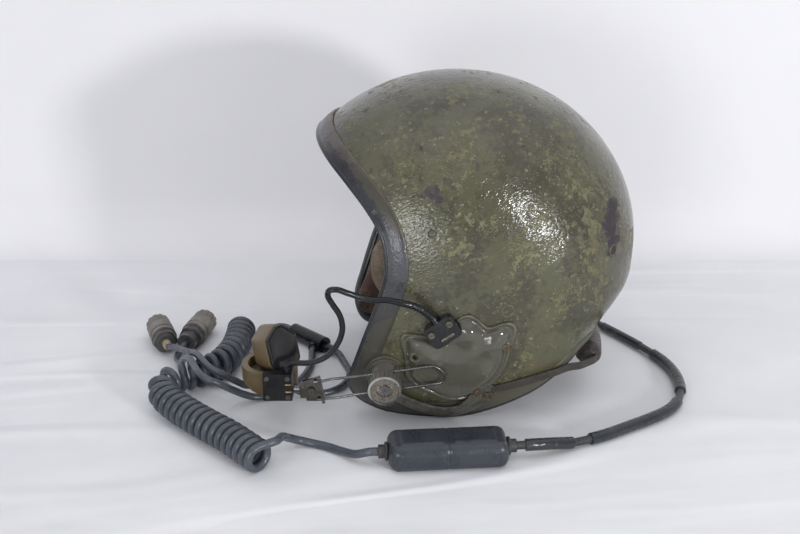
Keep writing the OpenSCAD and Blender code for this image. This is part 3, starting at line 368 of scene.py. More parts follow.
def blendColour(tree, mask, first, second):
    return blend(tree, "RGBA", (6, 7, 2), mask, first, second)


def blendValue(tree, mask, first, second):
    return blend(tree, "FLOAT", (2, 3, 0), mask, first, second)


wornPatches = makeWornPatches()
colourDrift = makeColourDrift()
fineGrain = makeFineGrain()
thinScratches = makeThinScratches()
leatherGrain = makeLeatherGrain()
settledDust = makeSettledDust()
print("node groups built")


def useGroup(tree, group, **values):
    node = tree.nodes.new("ShaderNodeGroup")
    node.node_tree = group
    for key, value in values.items():
        setOrLink(tree, node.inputs[key], value)
    return node.outputs


def wornMask(tree, scale, threshold, softness, ragged):
    return useGroup(tree, wornPatches, Scale=scale, Threshold=threshold, Softness=softness,
        Ragged=ragged)["Mask"]


def addBump(tree, height, distance, strength=1):
    bump = addNode(tree, "Bump", in_Distance=distance, in_Strength=strength)
    tree.links.new(height, bump.inputs["Height"])
    return bump.outputs["Normal"]


def newFinish(name):
    material = bpy.data.materials.new(name)
    material.use_nodes = True
    return material, material.node_tree, material.node_tree.nodes["Principled BSDF"]


def coat(tree, shader, colour, rough, normal=None):
    setOrLink(tree, shader.inputs["Base Color"], colour)
    setOrLink(tree, shader.inputs["Roughness"], rough)
    if normal is not None:
        tree.links.new(normal, shader.inputs["Normal"])


# most finishes are made here: two drifting colours, a worn colour, scratches, dust and grain
def makeFinish(name, look):
    look = {**commonLook, **look}
    material, tree, shader = newFinish(name)
    drift = useGroup(tree, colourDrift, First=look["first"], Second=look["second"], Scale=look["drift"])
    colour = drift["Color"]
    rough = blendValue(tree, drift["Mask"], *look["rough"])
    if "worn" in look:
        worn = wornMask(tree, look["wornScale"], look["wornFrom"], look["wornSoft"], look["ragged"])
        colour = blendColour(tree, worn, colour, look["worn"])
        rough = blendValue(tree, worn, rough, look.get("wornRough", look["rough"][1]))
    if "scratch" in look:
        lines = useGroup(tree, thinScratches, Amount=look["scratchAmount"])["Mask"]
        colour = blendColour(tree, lines, colour, look["scratch"])
    if "dust" in look:
        dust = useGroup(tree, settledDust, Scale=look["dustScale"], Amount=look["dustAmount"])["Mask"]
        colour = blendColour(tree, dust, colour, look["dust"])
        rough = blendValue(tree, dust, rough, look["dustRough"])
    if "leather" in look:
        grain = useGroup(tree, leatherGrain, Cells=look["leather"][0], Folds=look["leather"][1])
        colour = blendColour(tree, grain["Crease"], look["crease"], colour)
    else:
        grain = useGroup(tree, fineGrain, Scale=look["grain"], Lumps=look["lumps"])
    coat(tree, shader, colour, rough, addBump(tree, grain["Height"], look["depth"]))
    shader.inputs["Metallic"].default_value = look["metal"]
    shader.inputs["Specular IOR Level"].default_value = look["shine"]
    shader.inputs["Sheen Weight"].default_value = look["sheen"]
    return material


# shell paint: brushed olive, rubbed through to a matt yellow green, chipped to a purple brown primer
shellPaint = {
    "olive": (0.067, 0.065, 0.038), "oliveGreen": (0.079, 0.078, 0.041), "shade": (0.036, 0.032, 0.021),
    "rubbed": (0.17, 0.163, 0.07), "pale": (0.33, 0.31, 0.2), "primer": (0.022, 0.014, 0.019),
    "rust": (0.1, 0.06, 0.042), "dust": (0.2, 0.185, 0.17), "drift": 9, "gloss": (0.09, 0.17), "shine": 0.58,
    "matt": 0.6,
    # kinds of patches: scale, where they start, softness, ragged edge, strength
    "patches": {"mottle": (26, 0.53, 0.1, 0.9, 0.78), "matt": (24, 0.665, 0.02, 1.6, 0.85),
                "flecks": (190, 0.7, 0.02, 0.5, 0.55), "specks": (95, 0.71, 0.025, 0.4, 0.75),
                "rust": (60, 0.72, 0.04, 0.5, 0.7), "broken": (120, 0.55, 0.025, 1.5, 1)},
    "scratches": (55, 0.6, 0.7), "dustScale": 55, "dustAmount": 0.14, "thin": (150, 0.4, 0.52),
    "torn": (170, 0.3, 0.44), "peelScale": 470, "peelDepth": 0.00046, "peelLean": 0.5,
    "peelStretch": (0.6, 0.8, 1.3), "strokes": (0.22, 1.2), "dents": (0.35, 0.4),
    # places: x, z and a radius
    "blots": [(-45.5, 215.3, 6.2), (-38, 210.2, 3.6), (111, 188, 7), (109, 179, 8.2), (111.5, 170, 7.2),
              (112, 161, 6.2), (112.5, 153, 4.4), (-52.8, 247.3, 1.7)],
    "bare": [(37, 172, 15), (64, 241, 17), (79, 214, 15), (91, 150, 17), (-25, 236, 16), (-62, 238, 12),
             (47, 196, 12), (5, 188, 9), (70, 120, 12), (100, 205, 12)],
}


# spots at chosen places on the left side, with a ragged edge
def placedSpots(tree, places, ragged, soft):
    place = objectPlace(tree)
    flat = stretched(tree, place, (1, 0, 1))
    total = None
    for x, z, radius in places:
        gap = addNode(tree, "VectorMath", operation="DISTANCE")
        gap.inputs[1].default_value = (x * 0.001, 0, z * 0.001)
        tree.links.new(flat, gap.inputs[0])
        near = minus(tree, 1, times(tree, gap.outputs["Value"], 1000 / radius))
        total = near if total is None else larger(tree, total, near)
    total = plus(tree, total, times(tree, evenNoise(tree, 130, 6, 0.7), ragged))
    left = stepMask(tree, times(tree, apart(tree, place)["Y"], -1), -0.002, 0.002)
    return times(tree, stepMask(tree, total, -soft, soft), left)


def makeShellPaint():
    look = shellPaint
    material, tree, shader = newFinish("shellPaint")
    colour = useGroup(tree, colourDrift, First=look["olive"], Second=look["oliveGreen"],
        Scale=look["drift"])["Color"]
    patches = {kind: wornMask(tree, *values[:4]) for kind, values in look["patches"].items()}
    shown = {kind: times(tree, patches[kind], values[4]) for kind, values in look["patches"].items()}
    bare = times(tree, placedSpots(tree, look["bare"], 3.4, 0.12), shown["broken"])
    matt = larger(tree, shown["matt"], bare)
    scale, low, high = look["thin"]
    thin = stepMask(tree, fieldNoise(tree, scale, 6, 0.7), low, high)
    rubbed = times(tree, matt, plus(tree, 0.15, times(tree, thin, 0.5)))
    scale, low, high = look["torn"]
    torn = stepMask(tree, fieldNoise(tree, scale, 5, 0.7), low, high)
    dark = larger(tree, shown["specks"], times(tree, placedSpots(tree, look["blots"], 3.6, 0.3), torn))
    scale, amount, strength = look["scratches"]
    lines = times(tree, useGroup(tree, thinScratches, Scale=scale, Amount=amount)["Mask"], strength)
    dust = useGroup(tree, settledDust, Scale=look["dustScale"], Amount=look["dustAmount"])["Mask"]
    for mask, layer in ((shown["mottle"], "shade"), (rubbed, "rubbed"), (shown["flecks"], "pale"),
                        (lines, "rubbed"), (shown["rust"], "rust"), (dark, "primer"), (dust, "dust")):
        colour = blendColour(tree, mask, colour, look[layer])
    rough = blendValue(tree, patches["mottle"], *look["gloss"])
    rough = blendValue(tree, larger(tree, matt, dark), rough, look["matt"])
    # brush strokes under the fine bumps of the paint
    lay = stretched(tree, leaned(tree, (0, 1, 0.2), look["peelLean"]), look["peelStretch"])
    peel = fieldNoise(tree, look["peelScale"], 2, 0.55, lay, 0.2)
    strokes = fieldNoise(tree, look["peelScale"] * look["strokes"][0], 3, 0.55, lay, 0.3)
    height = plus(tree, peel, times(tree, strokes, look["strokes"][1]))
    for mask, dent in zip((matt, dark), look["dents"]):
        height = minus(tree, height, times(tree, mask, dent))
    shader.inputs["Specular IOR Level"].default_value = look["shine"]
    coat(tree, shader, colour, rough, addBump(tree, height, look["peelDepth"]))
    return material


# rubber trim: its outer half carries paint, its inner half is bare; the zones follow the height. Its bare colours
# hold a lighter bluish band at mid height, a painted sheen on the cheeks
trimLook = {
    "paint": [(0, (0.022, 0.024, 0.021)), (0.12, (0.04, 0.04, 0.03)), (0.45, (0.045, 0.041, 0.03)),
              (0.86, (0.042, 0.038, 0.027)), (0.92, (0.05, 0.043, 0.035)), (0.96, (0.085, 0.072, 0.068))],
    "bare": [(0, (0.012, 0.015, 0.015)), (0.12, (0.03, 0.031, 0.025)), (0.42, (0.034, 0.034, 0.031)),
             # the lighter bluish stops at 0.52 and 0.68 are a painted sheen, standing in for the reflection on the
             # cheeks
             (0.52, (0.05, 0.051, 0.055)), (0.68, (0.06, 0.062, 0.07)), (0.78, (0.014, 0.017, 0.024)),
             (0.9, (0.02, 0.02, 0.026)), (0.96, (0.045, 0.04, 0.042))],
    "rubbed": (0.17, 0.15, 0.13), "dark": (0.013, 0.014, 0.016), "rear": (0.066, 0.063, 0.043),
    "gloss": (0.2, 0.36), "levels": (4, 0.16), "ragged": 1.1, "bareSheenFrom": (0.36, 0.5), "bareSheenTo": (0.68, 0.78),
    "paintedUnder": (0.36, 0.44), "shift": (0.55, 0.5), "border": (0.42, 0.6),
    "rubbedPatch": (70, 0.68, 0.04, 0.7), "darkPatch": (90, 0.64, 0.04, 0.6), "strength": (0.35, 0.7),
    "rubbedRough": 0.5, "grain": (420, 1.6), "depth": 0.00035}


def heightRamp(tree, level, stops):
    ramp = addNode(tree, "ValToRGB")
    tree.links.new(level, ramp.inputs["Fac"])
    ends = ramp.color_ramp.elements
    ends[0].position, ends[0].color = stops[0][0], (*stops[0][1], 1)
    ends[1].position, ends[1].color = stops[-1][0], (*stops[-1][1], 1)
    for place, colour in stops[1:-1]:
        ends.new(place).color = (*colour, 1)
    return ramp.outputs["Color"]


def makeTrimRubber():
    look = trimLook
    material, tree, shader = newFinish("trimRubber")
    place = apart(tree, objectPlace(tree))
    level = times(tree, place["Z"], look["levels"][0])
    level = plus(tree, level, times(tree, evenNoise(tree, 40, 5, 0.65), look["levels"][1]))
    across = addNode(tree, "Attribute", attribute_name="across").outputs["Fac"]
    ragged = times(tree, evenNoise(tree, 60, 6, 0.7), look["ragged"])
    # beside the ear the band shows its bare colours across its whole width, carrying the painted bluish sheen
    # there; below that it is all painted
    wide = minus(tree, stepMask(tree, level, *look["bareSheenFrom"]), stepMask(tree, level, *look["bareSheenTo"]))
    low = minus(tree, 1, stepMask(tree, level, *look["paintedUnder"]))
    shift = minus(tree, times(tree, wide, look["shift"][0]), times(tree, low, look["shift"][1]))
    zone = stepMask(tree, plus(tree, plus(tree, across, ragged), shift), *look["border"])
    # the bare ramp holds the painted bluish sheen at mid height
    colour = blendColour(tree, zone, heightRamp(tree, level, look["paint"]),
        heightRamp(tree, level, look["bare"]))
    worn = wornMask(tree, *look["rubbedPatch"])
    colour = blendColour(tree, times(tree, worn, look["strength"][0]), colour, look["rubbed"])
    dark = times(tree, wornMask(tree, *look["darkPatch"]), look["strength"][1])
    colour = blendColour(tree, dark, colour, look["dark"])
    rear = stepMask(tree, times(tree, place["X"], 100), -1.5, 1.5)
    colour = blendColour(tree, rear, colour, look["rear"])
    rough = blendValue(tree, zone, look["gloss"][1], look["gloss"][0])
    rough = blendValue(tree, worn, rough, look["rubbedRough"])
    grain = useGroup(tree, fineGrain, Scale=look["grain"][0], Lumps=look["grain"][1])
    coat(tree, shader, colour, rough, addBump(tree, grain["Height"], look["depth"]))
    return material


# what most finishes share; the table after it names what differs
commonLook = dict(drift=60, wornScale=90, wornFrom=0.72, ragged=0.4, scratchAmount=0.3, dustScale=60,
                  dustAmount=0.1, grain=900, lumps=0.5, depth=0.0002, metal=0, shine=0.5, sheen=0,
                  wornSoft=0.03, dustRough=0.75)
looks = {
    "shellInside": dict(first=(0.012, 0.013, 0.014), second=(0.02, 0.021, 0.022), drift=14, rough=(0.6, 0.8),
        grain=500),
    "coverPaint": dict(first=(0.07, 0.068, 0.052), second=(0.083, 0.08, 0.061), drift=22, rough=(0.1, 0.17),
        worn=(0.15, 0.145, 0.11), ragged=0.6, scratch=(0.2, 0.2, 0.15), grain=110, lumps=1.5, depth=0.0003),
    "coverEdge": dict(first=(0.085, 0.08, 0.058), second=(0.17, 0.16, 0.12), drift=140, rough=(0.3, 0.45),
        depth=0.0003),
    "trimBead": dict(first=(0.009, 0.011, 0.013), second=(0.018, 0.02, 0.024), drift=14, rough=(0.12, 0.25),
        grain=700),
    "trimEdge": dict(first=(0.13, 0.112, 0.075), second=(0.07, 0.058, 0.04), drift=90, rough=(0.5, 0.65)),
    "linerFoam": dict(first=(0.012, 0.013, 0.014), second=(0.022, 0.023, 0.024), drift=14, rough=(0.8, 0.95),
        grain=1300, depth=0.0005),
    "earLeather": dict(first=(0.24, 0.185, 0.125), second=(0.3, 0.235, 0.165), drift=30, rough=(0.4, 0.55),
        sheen=0.1, leather=(520, 70), crease=(0.1, 0.07, 0.045), depth=0.0007),
    "brownLeather": dict(first=(0.082, 0.04, 0.027), second=(0.125, 0.066, 0.043), drift=40,
        rough=(0.35, 0.55), sheen=0.1, worn=(0.22, 0.145, 0.09), wornScale=80, wornFrom=0.65, ragged=0.7,
        leather=(600, 80), crease=(0.03, 0.015, 0.011), depth=0.0008),
    "rollLeather": dict(first=(0.05, 0.037, 0.031), second=(0.08, 0.06, 0.05), rough=(0.22, 0.4),
        worn=(0.15, 0.12, 0.1), wornFrom=0.68, ragged=0.7, leather=(600, 80), crease=(0.022, 0.015, 0.012),
        depth=0.0008),
    "seamThread": dict(first=(0.05, 0.04, 0.03), second=(0.09, 0.075, 0.05), drift=14, rough=(0.7, 0.85),
        grain=2500),
    "strapLeather": dict(first=(0.1, 0.098, 0.08), second=(0.132, 0.128, 0.107), drift=45, rough=(0.28, 0.42),
        worn=(0.18, 0.17, 0.14), wornFrom=0.7, ragged=0.6, leather=(750, 110), crease=(0.04, 0.038, 0.03),
        depth=0.0004),
    "napeLeather": dict(first=(0.034, 0.029, 0.023), second=(0.055, 0.047, 0.037), drift=45,
        rough=(0.26, 0.4), worn=(0.12, 0.105, 0.085), wornFrom=0.68, ragged=0.6, leather=(750, 110),
        crease=(0.02, 0.016, 0.012), depth=0.0005),
    "rivetBrass": dict(first=(0.13, 0.095, 0.055), second=(0.07, 0.05, 0.03), drift=300, rough=(0.35, 0.6),
        metal=0.7, worn=(0.28, 0.24, 0.17), wornScale=400, wornFrom=0.62, depth=0.0003),
    "screwSteel": dict(first=(0.17, 0.155, 0.12), second=(0.1, 0.085, 0.06), drift=250, rough=(0.28, 0.5),
        metal=0.9, worn=(0.1, 0.055, 0.03), wornScale=300, wornFrom=0.64),
    "wireSteel": dict(first=(0.17, 0.17, 0.175), second=(0.1, 0.097, 0.095), drift=120, rough=(0.22, 0.36),
        metal=1, worn=(0.1, 0.06, 0.04), wornScale=160, depth=0.0001),
    "pinSteel": dict(first=(0.27, 0.26, 0.245), second=(0.17, 0.165, 0.155), drift=250, rough=(0.28, 0.42),
        metal=0.9, depth=0.0001),
    "bracketSteel": dict(first=(0.15, 0.14, 0.12), second=(0.085, 0.08, 0.068), drift=90, rough=(0.14, 0.26),
        metal=1, worn=(0.24, 0.12, 0.05), wornScale=170, wornFrom=0.73, ragged=0.8, wornRough=0.6,
        depth=0.0001),
    "knobSteel": dict(first=(0.54, 0.55, 0.53), second=(0.43, 0.44, 0.42), drift=110, rough=(0.2, 0.3),
        metal=1, depth=0.00004),
    "knobSide": dict(first=(0.105, 0.1, 0.09), second=(0.15, 0.14, 0.125), drift=70, rough=(0.35, 0.5),
        metal=0.3, worn=(0.2, 0.16, 0.12), wornScale=140, wornFrom=0.64, depth=0.0003),
    "discBrown": dict(first=(0.102, 0.088, 0.07), second=(0.148, 0.13, 0.105), drift=180, rough=(0.35, 0.5),
        worn=(0.05, 0.038, 0.03), wornScale=300, wornFrom=0.6, ragged=0.7),
    "drumGrey": dict(first=(0.13, 0.12, 0.105), second=(0.085, 0.08, 0.07), rough=(0.32, 0.46),
        worn=(0.24, 0.2, 0.16), wornScale=130, wornFrom=0.66, ragged=0.6, depth=0.0003),
    "basePaint": dict(first=(0.075, 0.074, 0.052), second=(0.055, 0.054, 0.04), drift=50, rough=(0.28, 0.42),
        worn=(0.2, 0.17, 0.13), wornScale=120, wornFrom=0.64, ragged=0.6, depth=0.0003),
    "connectorBlack": dict(first=(0.007, 0.008, 0.009), second=(0.013, 0.014, 0.016), rough=(0.16, 0.28),
        shine=0.4, worn=(0.06, 0.057, 0.047), wornScale=150, wornFrom=0.7),
    "boxBlack": dict(first=(0.02, 0.025, 0.034), second=(0.031, 0.036, 0.047), drift=35, rough=(0.22, 0.32),
        dust=(0.1, 0.1, 0.11), grain=500, lumps=2.5, depth=0.0003),
    "glandRubber": dict(first=(0.024, 0.024, 0.024), second=(0.042, 0.041, 0.039), drift=80,
        rough=(0.34, 0.5), grain=800, depth=0.0003),
    "cableRubber": dict(first=(0.02, 0.023, 0.026), second=(0.034, 0.037, 0.04), drift=50, rough=(0.26, 0.4),
        dust=(0.11, 0.105, 0.1), dustAmount=0.25, depth=0.00025),
    "coilRubber": dict(first=(0.048, 0.056, 0.07), second=(0.069, 0.078, 0.096), drift=25, rough=(0.18, 0.3),
        dust=(0.13, 0.13, 0.135), dustAmount=0.22),
    "micCableBlack": dict(first=(0.006, 0.007, 0.008), second=(0.012, 0.013, 0.015), rough=(0.1, 0.18),
        shine=0.4, dust=(0.08, 0.08, 0.08), dustAmount=0.03, grain=420, lumps=1.5, depth=0.0003),
    "sleeveBlack": dict(first=(0.02, 0.023, 0.027), second=(0.034, 0.037, 0.04), drift=45, rough=(0.14, 0.28),
        worn=(0.08, 0.085, 0.09), wornScale=70, wornFrom=0.7, grain=220, lumps=2, depth=0.0006),
    "micBrown": dict(first=(0.108, 0.074, 0.032), second=(0.132, 0.094, 0.045), drift=40, rough=(0.3, 0.42),
        worn=(0.19, 0.16, 0.11), wornScale=110, ragged=0.5, scratch=(0.24, 0.21, 0.15), scratchAmount=0.4,
        dust=(0.22, 0.19, 0.15), dustScale=9, dustAmount=0.4, depth=0.00025),
    "micBlack": dict(first=(0.006, 0.006, 0.007), second=(0.012, 0.012, 0.013), rough=(0.3, 0.44), shine=0.3,
        scratch=(0.07, 0.07, 0.07)),
    "pinBrass": dict(first=(0.5, 0.36, 0.17), second=(0.33, 0.22, 0.1), drift=300, rough=(0.25, 0.4),
        metal=1),
    "discSilver": dict(first=(0.14, 0.145, 0.14), second=(0.09, 0.095, 0.085), drift=250, rough=(0.25, 0.45),
        metal=0.8, worn=(0.06, 0.062, 0.05), wornScale=300, wornFrom=0.6),
    "plugGrey": dict(first=(0.21, 0.19, 0.165), second=(0.15, 0.135, 0.12), rough=(0.38, 0.52), metal=0.2,
        worn=(0.08, 0.078, 0.078), wornFrom=0.66, ragged=0.7, depth=0.0003),
    "plugDark": dict(first=(0.05, 0.052, 0.058), second=(0.085, 0.083, 0.085), drift=70, rough=(0.3, 0.45),
        metal=0.3, worn=(0.2, 0.16, 0.12), wornScale=150, wornFrom=0.66, ragged=0.7, depth=0.0003),
    "creamBand": dict(first=(0.42, 0.35, 0.23), second=(0.3, 0.21, 0.13), drift=160, rough=(0.4, 0.6)),
    "ringPaint": dict(first=(0.12, 0.12, 0.075), second=(0.085, 0.085, 0.055), drift=90, rough=(0.3, 0.45)),
    "studPaint": dict(first=(0.06, 0.062, 0.045), second=(0.08, 0.08, 0.055), drift=90, rough=(0.1, 0.18)),
}
finish = {name: makeFinish(name, look) for name, look in looks.items()}
finish["shellPaint"] = makeShellPaint()
finish["trimRubber"] = makeTrimRubber()
print("finishes made:", len(finish))


# cords first: each follows the route of its solid
cordLook = {"cable": 7.2, "plugCable": 6.6, "micCable": 5, "sides": 20}
mainRoute = [
    (45.002, 122.852, 54.97), (50.992, 122.852, 50.456), (59, 117.2, 43), (70, 115, 34), (82, 113, 22),
    (93, 110.5, 11.5), (105, 107.5, 5.9), (118, 101, 5.4), (129.5, 91, 5.4), (140, 77, 5.4), (150, 62.5, 5.4),
    (160, 47, 5.4), (170, 31, 5.4), (179, 14, 5.4), (186.5, -3, 5.4), (191, -22, 5.4), (192, -43, 5.4),
    (189, -63, 5.4), (182, -82, 5.4), (169.5, -98.5, 5.4), (152, -112, 5.4), (131, -125.5, 5.4),
    (111, -138, 5.4), (93, -147, 5.4), (77, -154.5, 6.4), (61, -161, 9.5), (47.5, -166.3, 12),
    (34.87, -168.519, 12.5), (27.417, -169.145, 12.5)]
feedRoute = [
    (-88.217, -178.855, 12.5), (-95.67, -179.481, 12.5), (-107, -175.5, 8), (-119, -165.5, 4.7),
    (-131, -157, 3.7), (-144, -151.5, 3.7), (-156, -151.5, 6.7), (-164, -157.5, 12.7), (-168.5, -167, 19.7),
    (-171.565, -183.259, 25.5), (-178.11, -187.86, 25.5)]
plugRouteA = [
    (-136.494, 19.459, 6.2), (-131.501, 14.582, 6.2), (-124, -2, 3.4), (-118, -24, 3.4), (-121, -42, 3.4),
    (-130, -56, 3.4), (-144, -63.5, 3.4), (-160, -64.5, 5.4), (-175, -61.5, 10.7), (-190, -58.5, 10.7),
    (-201, -60, 11.4), (-211, -66, 13.5), (-220, -73, 22), (-230, -76.5, 30), (-240.5, -73.5, 34),
    (-249, -62, 34.8), (-255.5, -50, 34.8), (-262.5, -37, 32), (-271, -22, 25.5), (-281, -7, 20.5),
    (-290, 5, 17), (-298.469, 15.473, 12.7), (-300.993, 21.981, 12.7)]
plugRouteB = [
    (-156.501, 23.98, 6.2), (-156.85, 17.009, 6.2), (-156.5, 0, 3.4), (-160, -24, 3.4), (-167.5, -43, 3.4),
    (-177, -58, 3.4), (-189, -67, 3.4), (-202, -71, 4), (-212, -76, 9.4), (-221, -84, 18.5),
    (-230, -92.5, 28.5), (-240, -95, 34.5), (-248.5, -87.5, 36), (-256, -72, 35.5), (-263.5, -55, 34.8),
    (-271.5, -38, 28), (-278, -22, 15), (-284, -8, 8.5), (-287.3, 2, 8), (-286.029, 8.289, 10.1),
    (-283.415, 15.144, 12.7), (-282.004, 21.98, 12.7)]
micRoute = [
    (-75, -137, 130), (-79.79, -137.532, 131.331), (-91, -139.5, 132.5), (-103, -141.5, 136),
    (-113, -143.5, 140.5), (-121, -146, 144.5), (-127, -146, 144), (-129, -142, 137.5),
    (-125.5, -137.5, 127.5), (-121, -134, 118), (-118.8, -132.2, 110.5), (-118.3, -131, 101),
    (-121, -130, 91), (-126, -129.3, 82), (-132.5, -128.6, 75), (-141, -127.5, 70), (-150, -126, 67.5),
    (-158.5, -124, 66.5), (-164.8, -122.3, 65), (-167.5, -121.5, 61.7), (-167.5, -121.5, 56.52)]


def layCord(name, node, path, diameter, look, body="helmet"):
    piece = addTube(name, path, diameter / 2, finish[look], sides=cordLook["sides"], body=body, slot="rubber",
                    replaces=(node,))
    return piece


# sleeves shrunk on the main cable, their ends a little flared: first and last mark, and a radius
sleeveForm = {"spans": [(9, 12, 4.3), (13, 17, 5.22), (18, 23, 5.22), (24, 27, 5.22)], "mouth": 3.65,
              "flare": 0.06, "ripple": 0.07, "sides": 24}
mainPath, mainMarks = smoothLine(mainRoute, marks=True)
sleevePoints, sleeveFaces = [], []
for first, last, thick in sleeveForm["spans"]:
    span = mainPath[mainMarks[first]:mainMarks[last] + 1]
    head, tail = span[:1], span[-1:]
    headStep, tailStep = span[1] - span[0], span[-2] - span[-1]
    span = np.vstack([head, head + headStep * 0.02, head + headStep * 0.35, span[1:-1],
                      tail + tailStep * 0.35, tail + tailStep * 0.02, tail])
    radii = thick + sleeveForm["ripple"] * np.sin(np.arange(len(span)) * 1.9 + first)
    radii[[0, -1]], radii[[1, -2]], radii[[2, -3]] = sleeveForm["mouth"], thick - 0.3, thick + sleeveForm["flare"]
    base = sum(len(p) for p in sleevePoints)
    sleevePoints.append(tubeRings(span, radii, sleeveForm["sides"]))
    sleeveFaces += [tuple(v + base for v in face) for face in gridFaces(len(span), sleeveForm["sides"])]
sleeves = addPiece("cableSleeves", np.vstack(sleevePoints), sleeveFaces, [finish["sleeveBlack"]], sharp=50,
                   slot="rubber", replaces=("cable_sleeves",))
layCord("mainCable", "main_cable", mainPath, cordLook["cable"], "cableRubber")
layCord("feedCable", "feed_cable", smoothLine(feedRoute), cordLook["cable"], "coilRubber")

# the curly cord: a helix round a line on the table, opening up in its bends
curl = {"line": [(-168, -210), (-184, -192), (-213, -160), (-239, -136), (-263, -112), (-280, -91),
                 (-286, -72), (-277, -54), (-258, -43), (-243, -28), (-235, -8), (-231, 14), (-230, 38),
                 (-231, 62), (-233, 86)],
        "outer": 29, "gap": 0.55, "height": 14.6, "perTurn": 24, "tightest": 0.045, "room": (1.2, 0.9)}
curlRadius = curl["outer"] / 2 - cordLook["cable"] / 2
curlLine = np.array(curl["line"], float)
curlEnd = len(curlLine) - 3


def curlAxis(u):
    i = min(int(math.floor(u)), curlEnd - 1) + 1
    return bowed(*curlLine[i - 1:i + 3], u - (i - 1))


def curlDirection(u):
    return unitOf(curlAxis(min(u + 0.02, curlEnd)) - curlAxis(max(u - 0.02, 0)))


def curlSpeed(u):
    a, b = max(u - 0.1, 0), min(u + 0.1, curlEnd)
    return float(np.linalg.norm(curlAxis(b) - curlAxis(a))) / (b - a)


def curlPitch(u):
    a, b = curlDirection(max(u - 0.35, 0)), curlDirection(min(u + 0.35, curlEnd))
    bend = min(math.acos(min(1.0, float(a @ b))) / (curlSpeed(u) * 0.7), curl["tightest"])
    return (cordLook["cable"] + curl["gap"]) / (1 - (curlRadius + curl["room"][0]) * bend) + curl["room"][1]


curlSteps = [0.0]
while curlSteps[-1] < curlEnd:
    curlSteps.append(curlSteps[-1] + curlPitch(curlSteps[-1]) / 8 / curlSpeed(curlSteps[-1]))
curlSteps.pop()
curlCount = (len(curlSteps) - 5) // 8 * 8 + 4
curlPath = []
for k in np.arange(0, curlCount + 1e-6, 8 / curl["perTurn"]):
    u = float(np.interp(k, np.arange(len(curlSteps)), curlSteps))
    t, centre, phase = curlDirection(u), curlAxis(u), math.radians(90 + 45 * k)
    across = np.array([t[1], -t[0]]) * curlRadius * math.cos(phase)
    curlPath.append((centre[0] + across[0], centre[1] + across[1],
        curl["height"] + curlRadius * math.sin(phase)))
curlPath = np.array(curlPath)


def curlLead(step, direction):
    side = np.array([direction[1], -direction[0]])
    way = (side if step @ side > 0 else -side) + 0.12 * direction
    return np.array([*unitOf(way), 0.0]) * cordLook["cable"]


coarse = curlPath[::3]
curlIn = curlLead((coarse[1] - coarse[0])[:2], curlDirection(0))
curlOut = curlLead((coarse[-1] - coarse[-2])[:2], curlDirection(curlSteps[curlCount]))
curlPath = np.vstack([curlPath[0] - curlIn, curlPath[0] - 0.5 * curlIn, curlPath,
                      curlPath[-1] + 0.5 * curlOut, curlPath[-1] + curlOut])
layCord("curlyCord", "curly_cord", curlPath, cordLook["cable"], "coilRubber")
tailStart = curlPath[-1]
tailRoute = [tuple(tailStart), tuple(tailStart + 7.5 * unitOf(curlOut)), (-205, 69.5, 5), (-196, 72, 7),
             (-189.5, 69.8, 8.1), (-183.365, 65.2405, 8.1), (-178.014, 60.014, 8.1)]
layCord("coilTail", "coil_tail", smoothLine(tailRoute), cordLook["cable"], "coilRubber")
print("curls:", curlCount / 8, "start", np.round(curlPath[0], 2), "end", np.round(tailStart, 2))

# plug cables, with their plugs
for letter, route in (("a", plugRouteA), ("b", plugRouteB)):
    layCord("plugCable" + letter.upper(), "plug_cable_" + letter, smoothLine(route), cordLook["plugCable"],
            "coilRubber")

# the microphone's cable, in three stretches that bend between the bodies they join
micPath, micMarks = smoothLine(micRoute, 1.6, marks=True)
for name, node, first, last, bodyA, bodyB in (
        ("micCableUpper", "mic_cable_upper", 0, 9, "helmet", "clamp"),
        ("micCableLower", "mic_cable_lower", 9, 13, "clamp", "boom"),
        ("micCableEnd", "mic_cable_end", 13, 20, "boom", "mic")):
    part = micPath[micMarks[first]:micMarks[last] + 1]
    piece = layCord(name, node, part, cordLook["micCable"], "micCableBlack", body=None)
    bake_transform(piece)
leadForm = {"route": [(-40.172, -129.573, 107.495), (-43.111, -129.573, 111.54), (-49, -131, 117.5),
                      (-57, -133.5, 123.5), (-66, -136, 127.5), (-75, -137, 130)],
            "radii": ([0, 0.3, 0.6, 0.94, 1], [3.2, 3.2, 3, 2.85, 2.6])}
leadPath = smoothLine(leadForm["route"], 1.5)
addTube("leadSleeve", leadPath, np.interp(np.linspace(0, 1, len(leadPath)), *leadForm["radii"]),
        finish["micCableBlack"], sides=cordLook["sides"], slot="rubber", replaces=("lead_sleeve",))
print("cords laid")


# the shell's own surface, worked out as the solid has it
shellForm = {"halfLength": 163, "halfWidth": 125, "crown": 147.5, "drop": 190, "wall": 4, "centreX": -19,
             "level": 140.645, "napeDraw": 0.12, "rows": 60, "steps": 6, "insideRows": 20,
             "edge": [(-123, 97), (-112, 90), (-94, 76), (-76, 57), (-64, 36), (-61, 8), (-69, -23),
                      (-79, -52), (-89, -83), (-95.5, -108), (-88, -127), (-67, -136.5), (-30, -138.5),
                      (12, -134), (62, -112), (96, -88), (117, -77), (130, -78)]}
pole = np.array([math.cos(math.radians(56)), 0, math.sin(math.radians(56))])
shellCentre = np.array([shellForm["centreX"], 0, shellForm["level"]])


def fullness(z):
    return 2.3 + 0.7 * soften(-z / 140)


def widthAt(z):
    return shellForm["halfWidth"] * (1 - 0.065 * soften((-z - 85) / 55))


def sideReach(x, z):
    # the lower back draws in a little towards the nape
    draw = 1 - shellForm["napeDraw"] * soften((-z - 25) / 55) * soften((x - 50) / 70)
    return np.hypot(x / (shellForm["halfLength"] * draw),
        z / np.where(z > 0, shellForm["crown"], shellForm["drop"]))


def sideY(x, z):
    u, v = np.asarray(x, float) - shellForm["centreX"], np.asarray(z, float) - shellForm["level"]
    p = fullness(v)
    return widthAt(v) * np.maximum(0, 1 - sideReach(u, v) ** p) ** (1 / p)


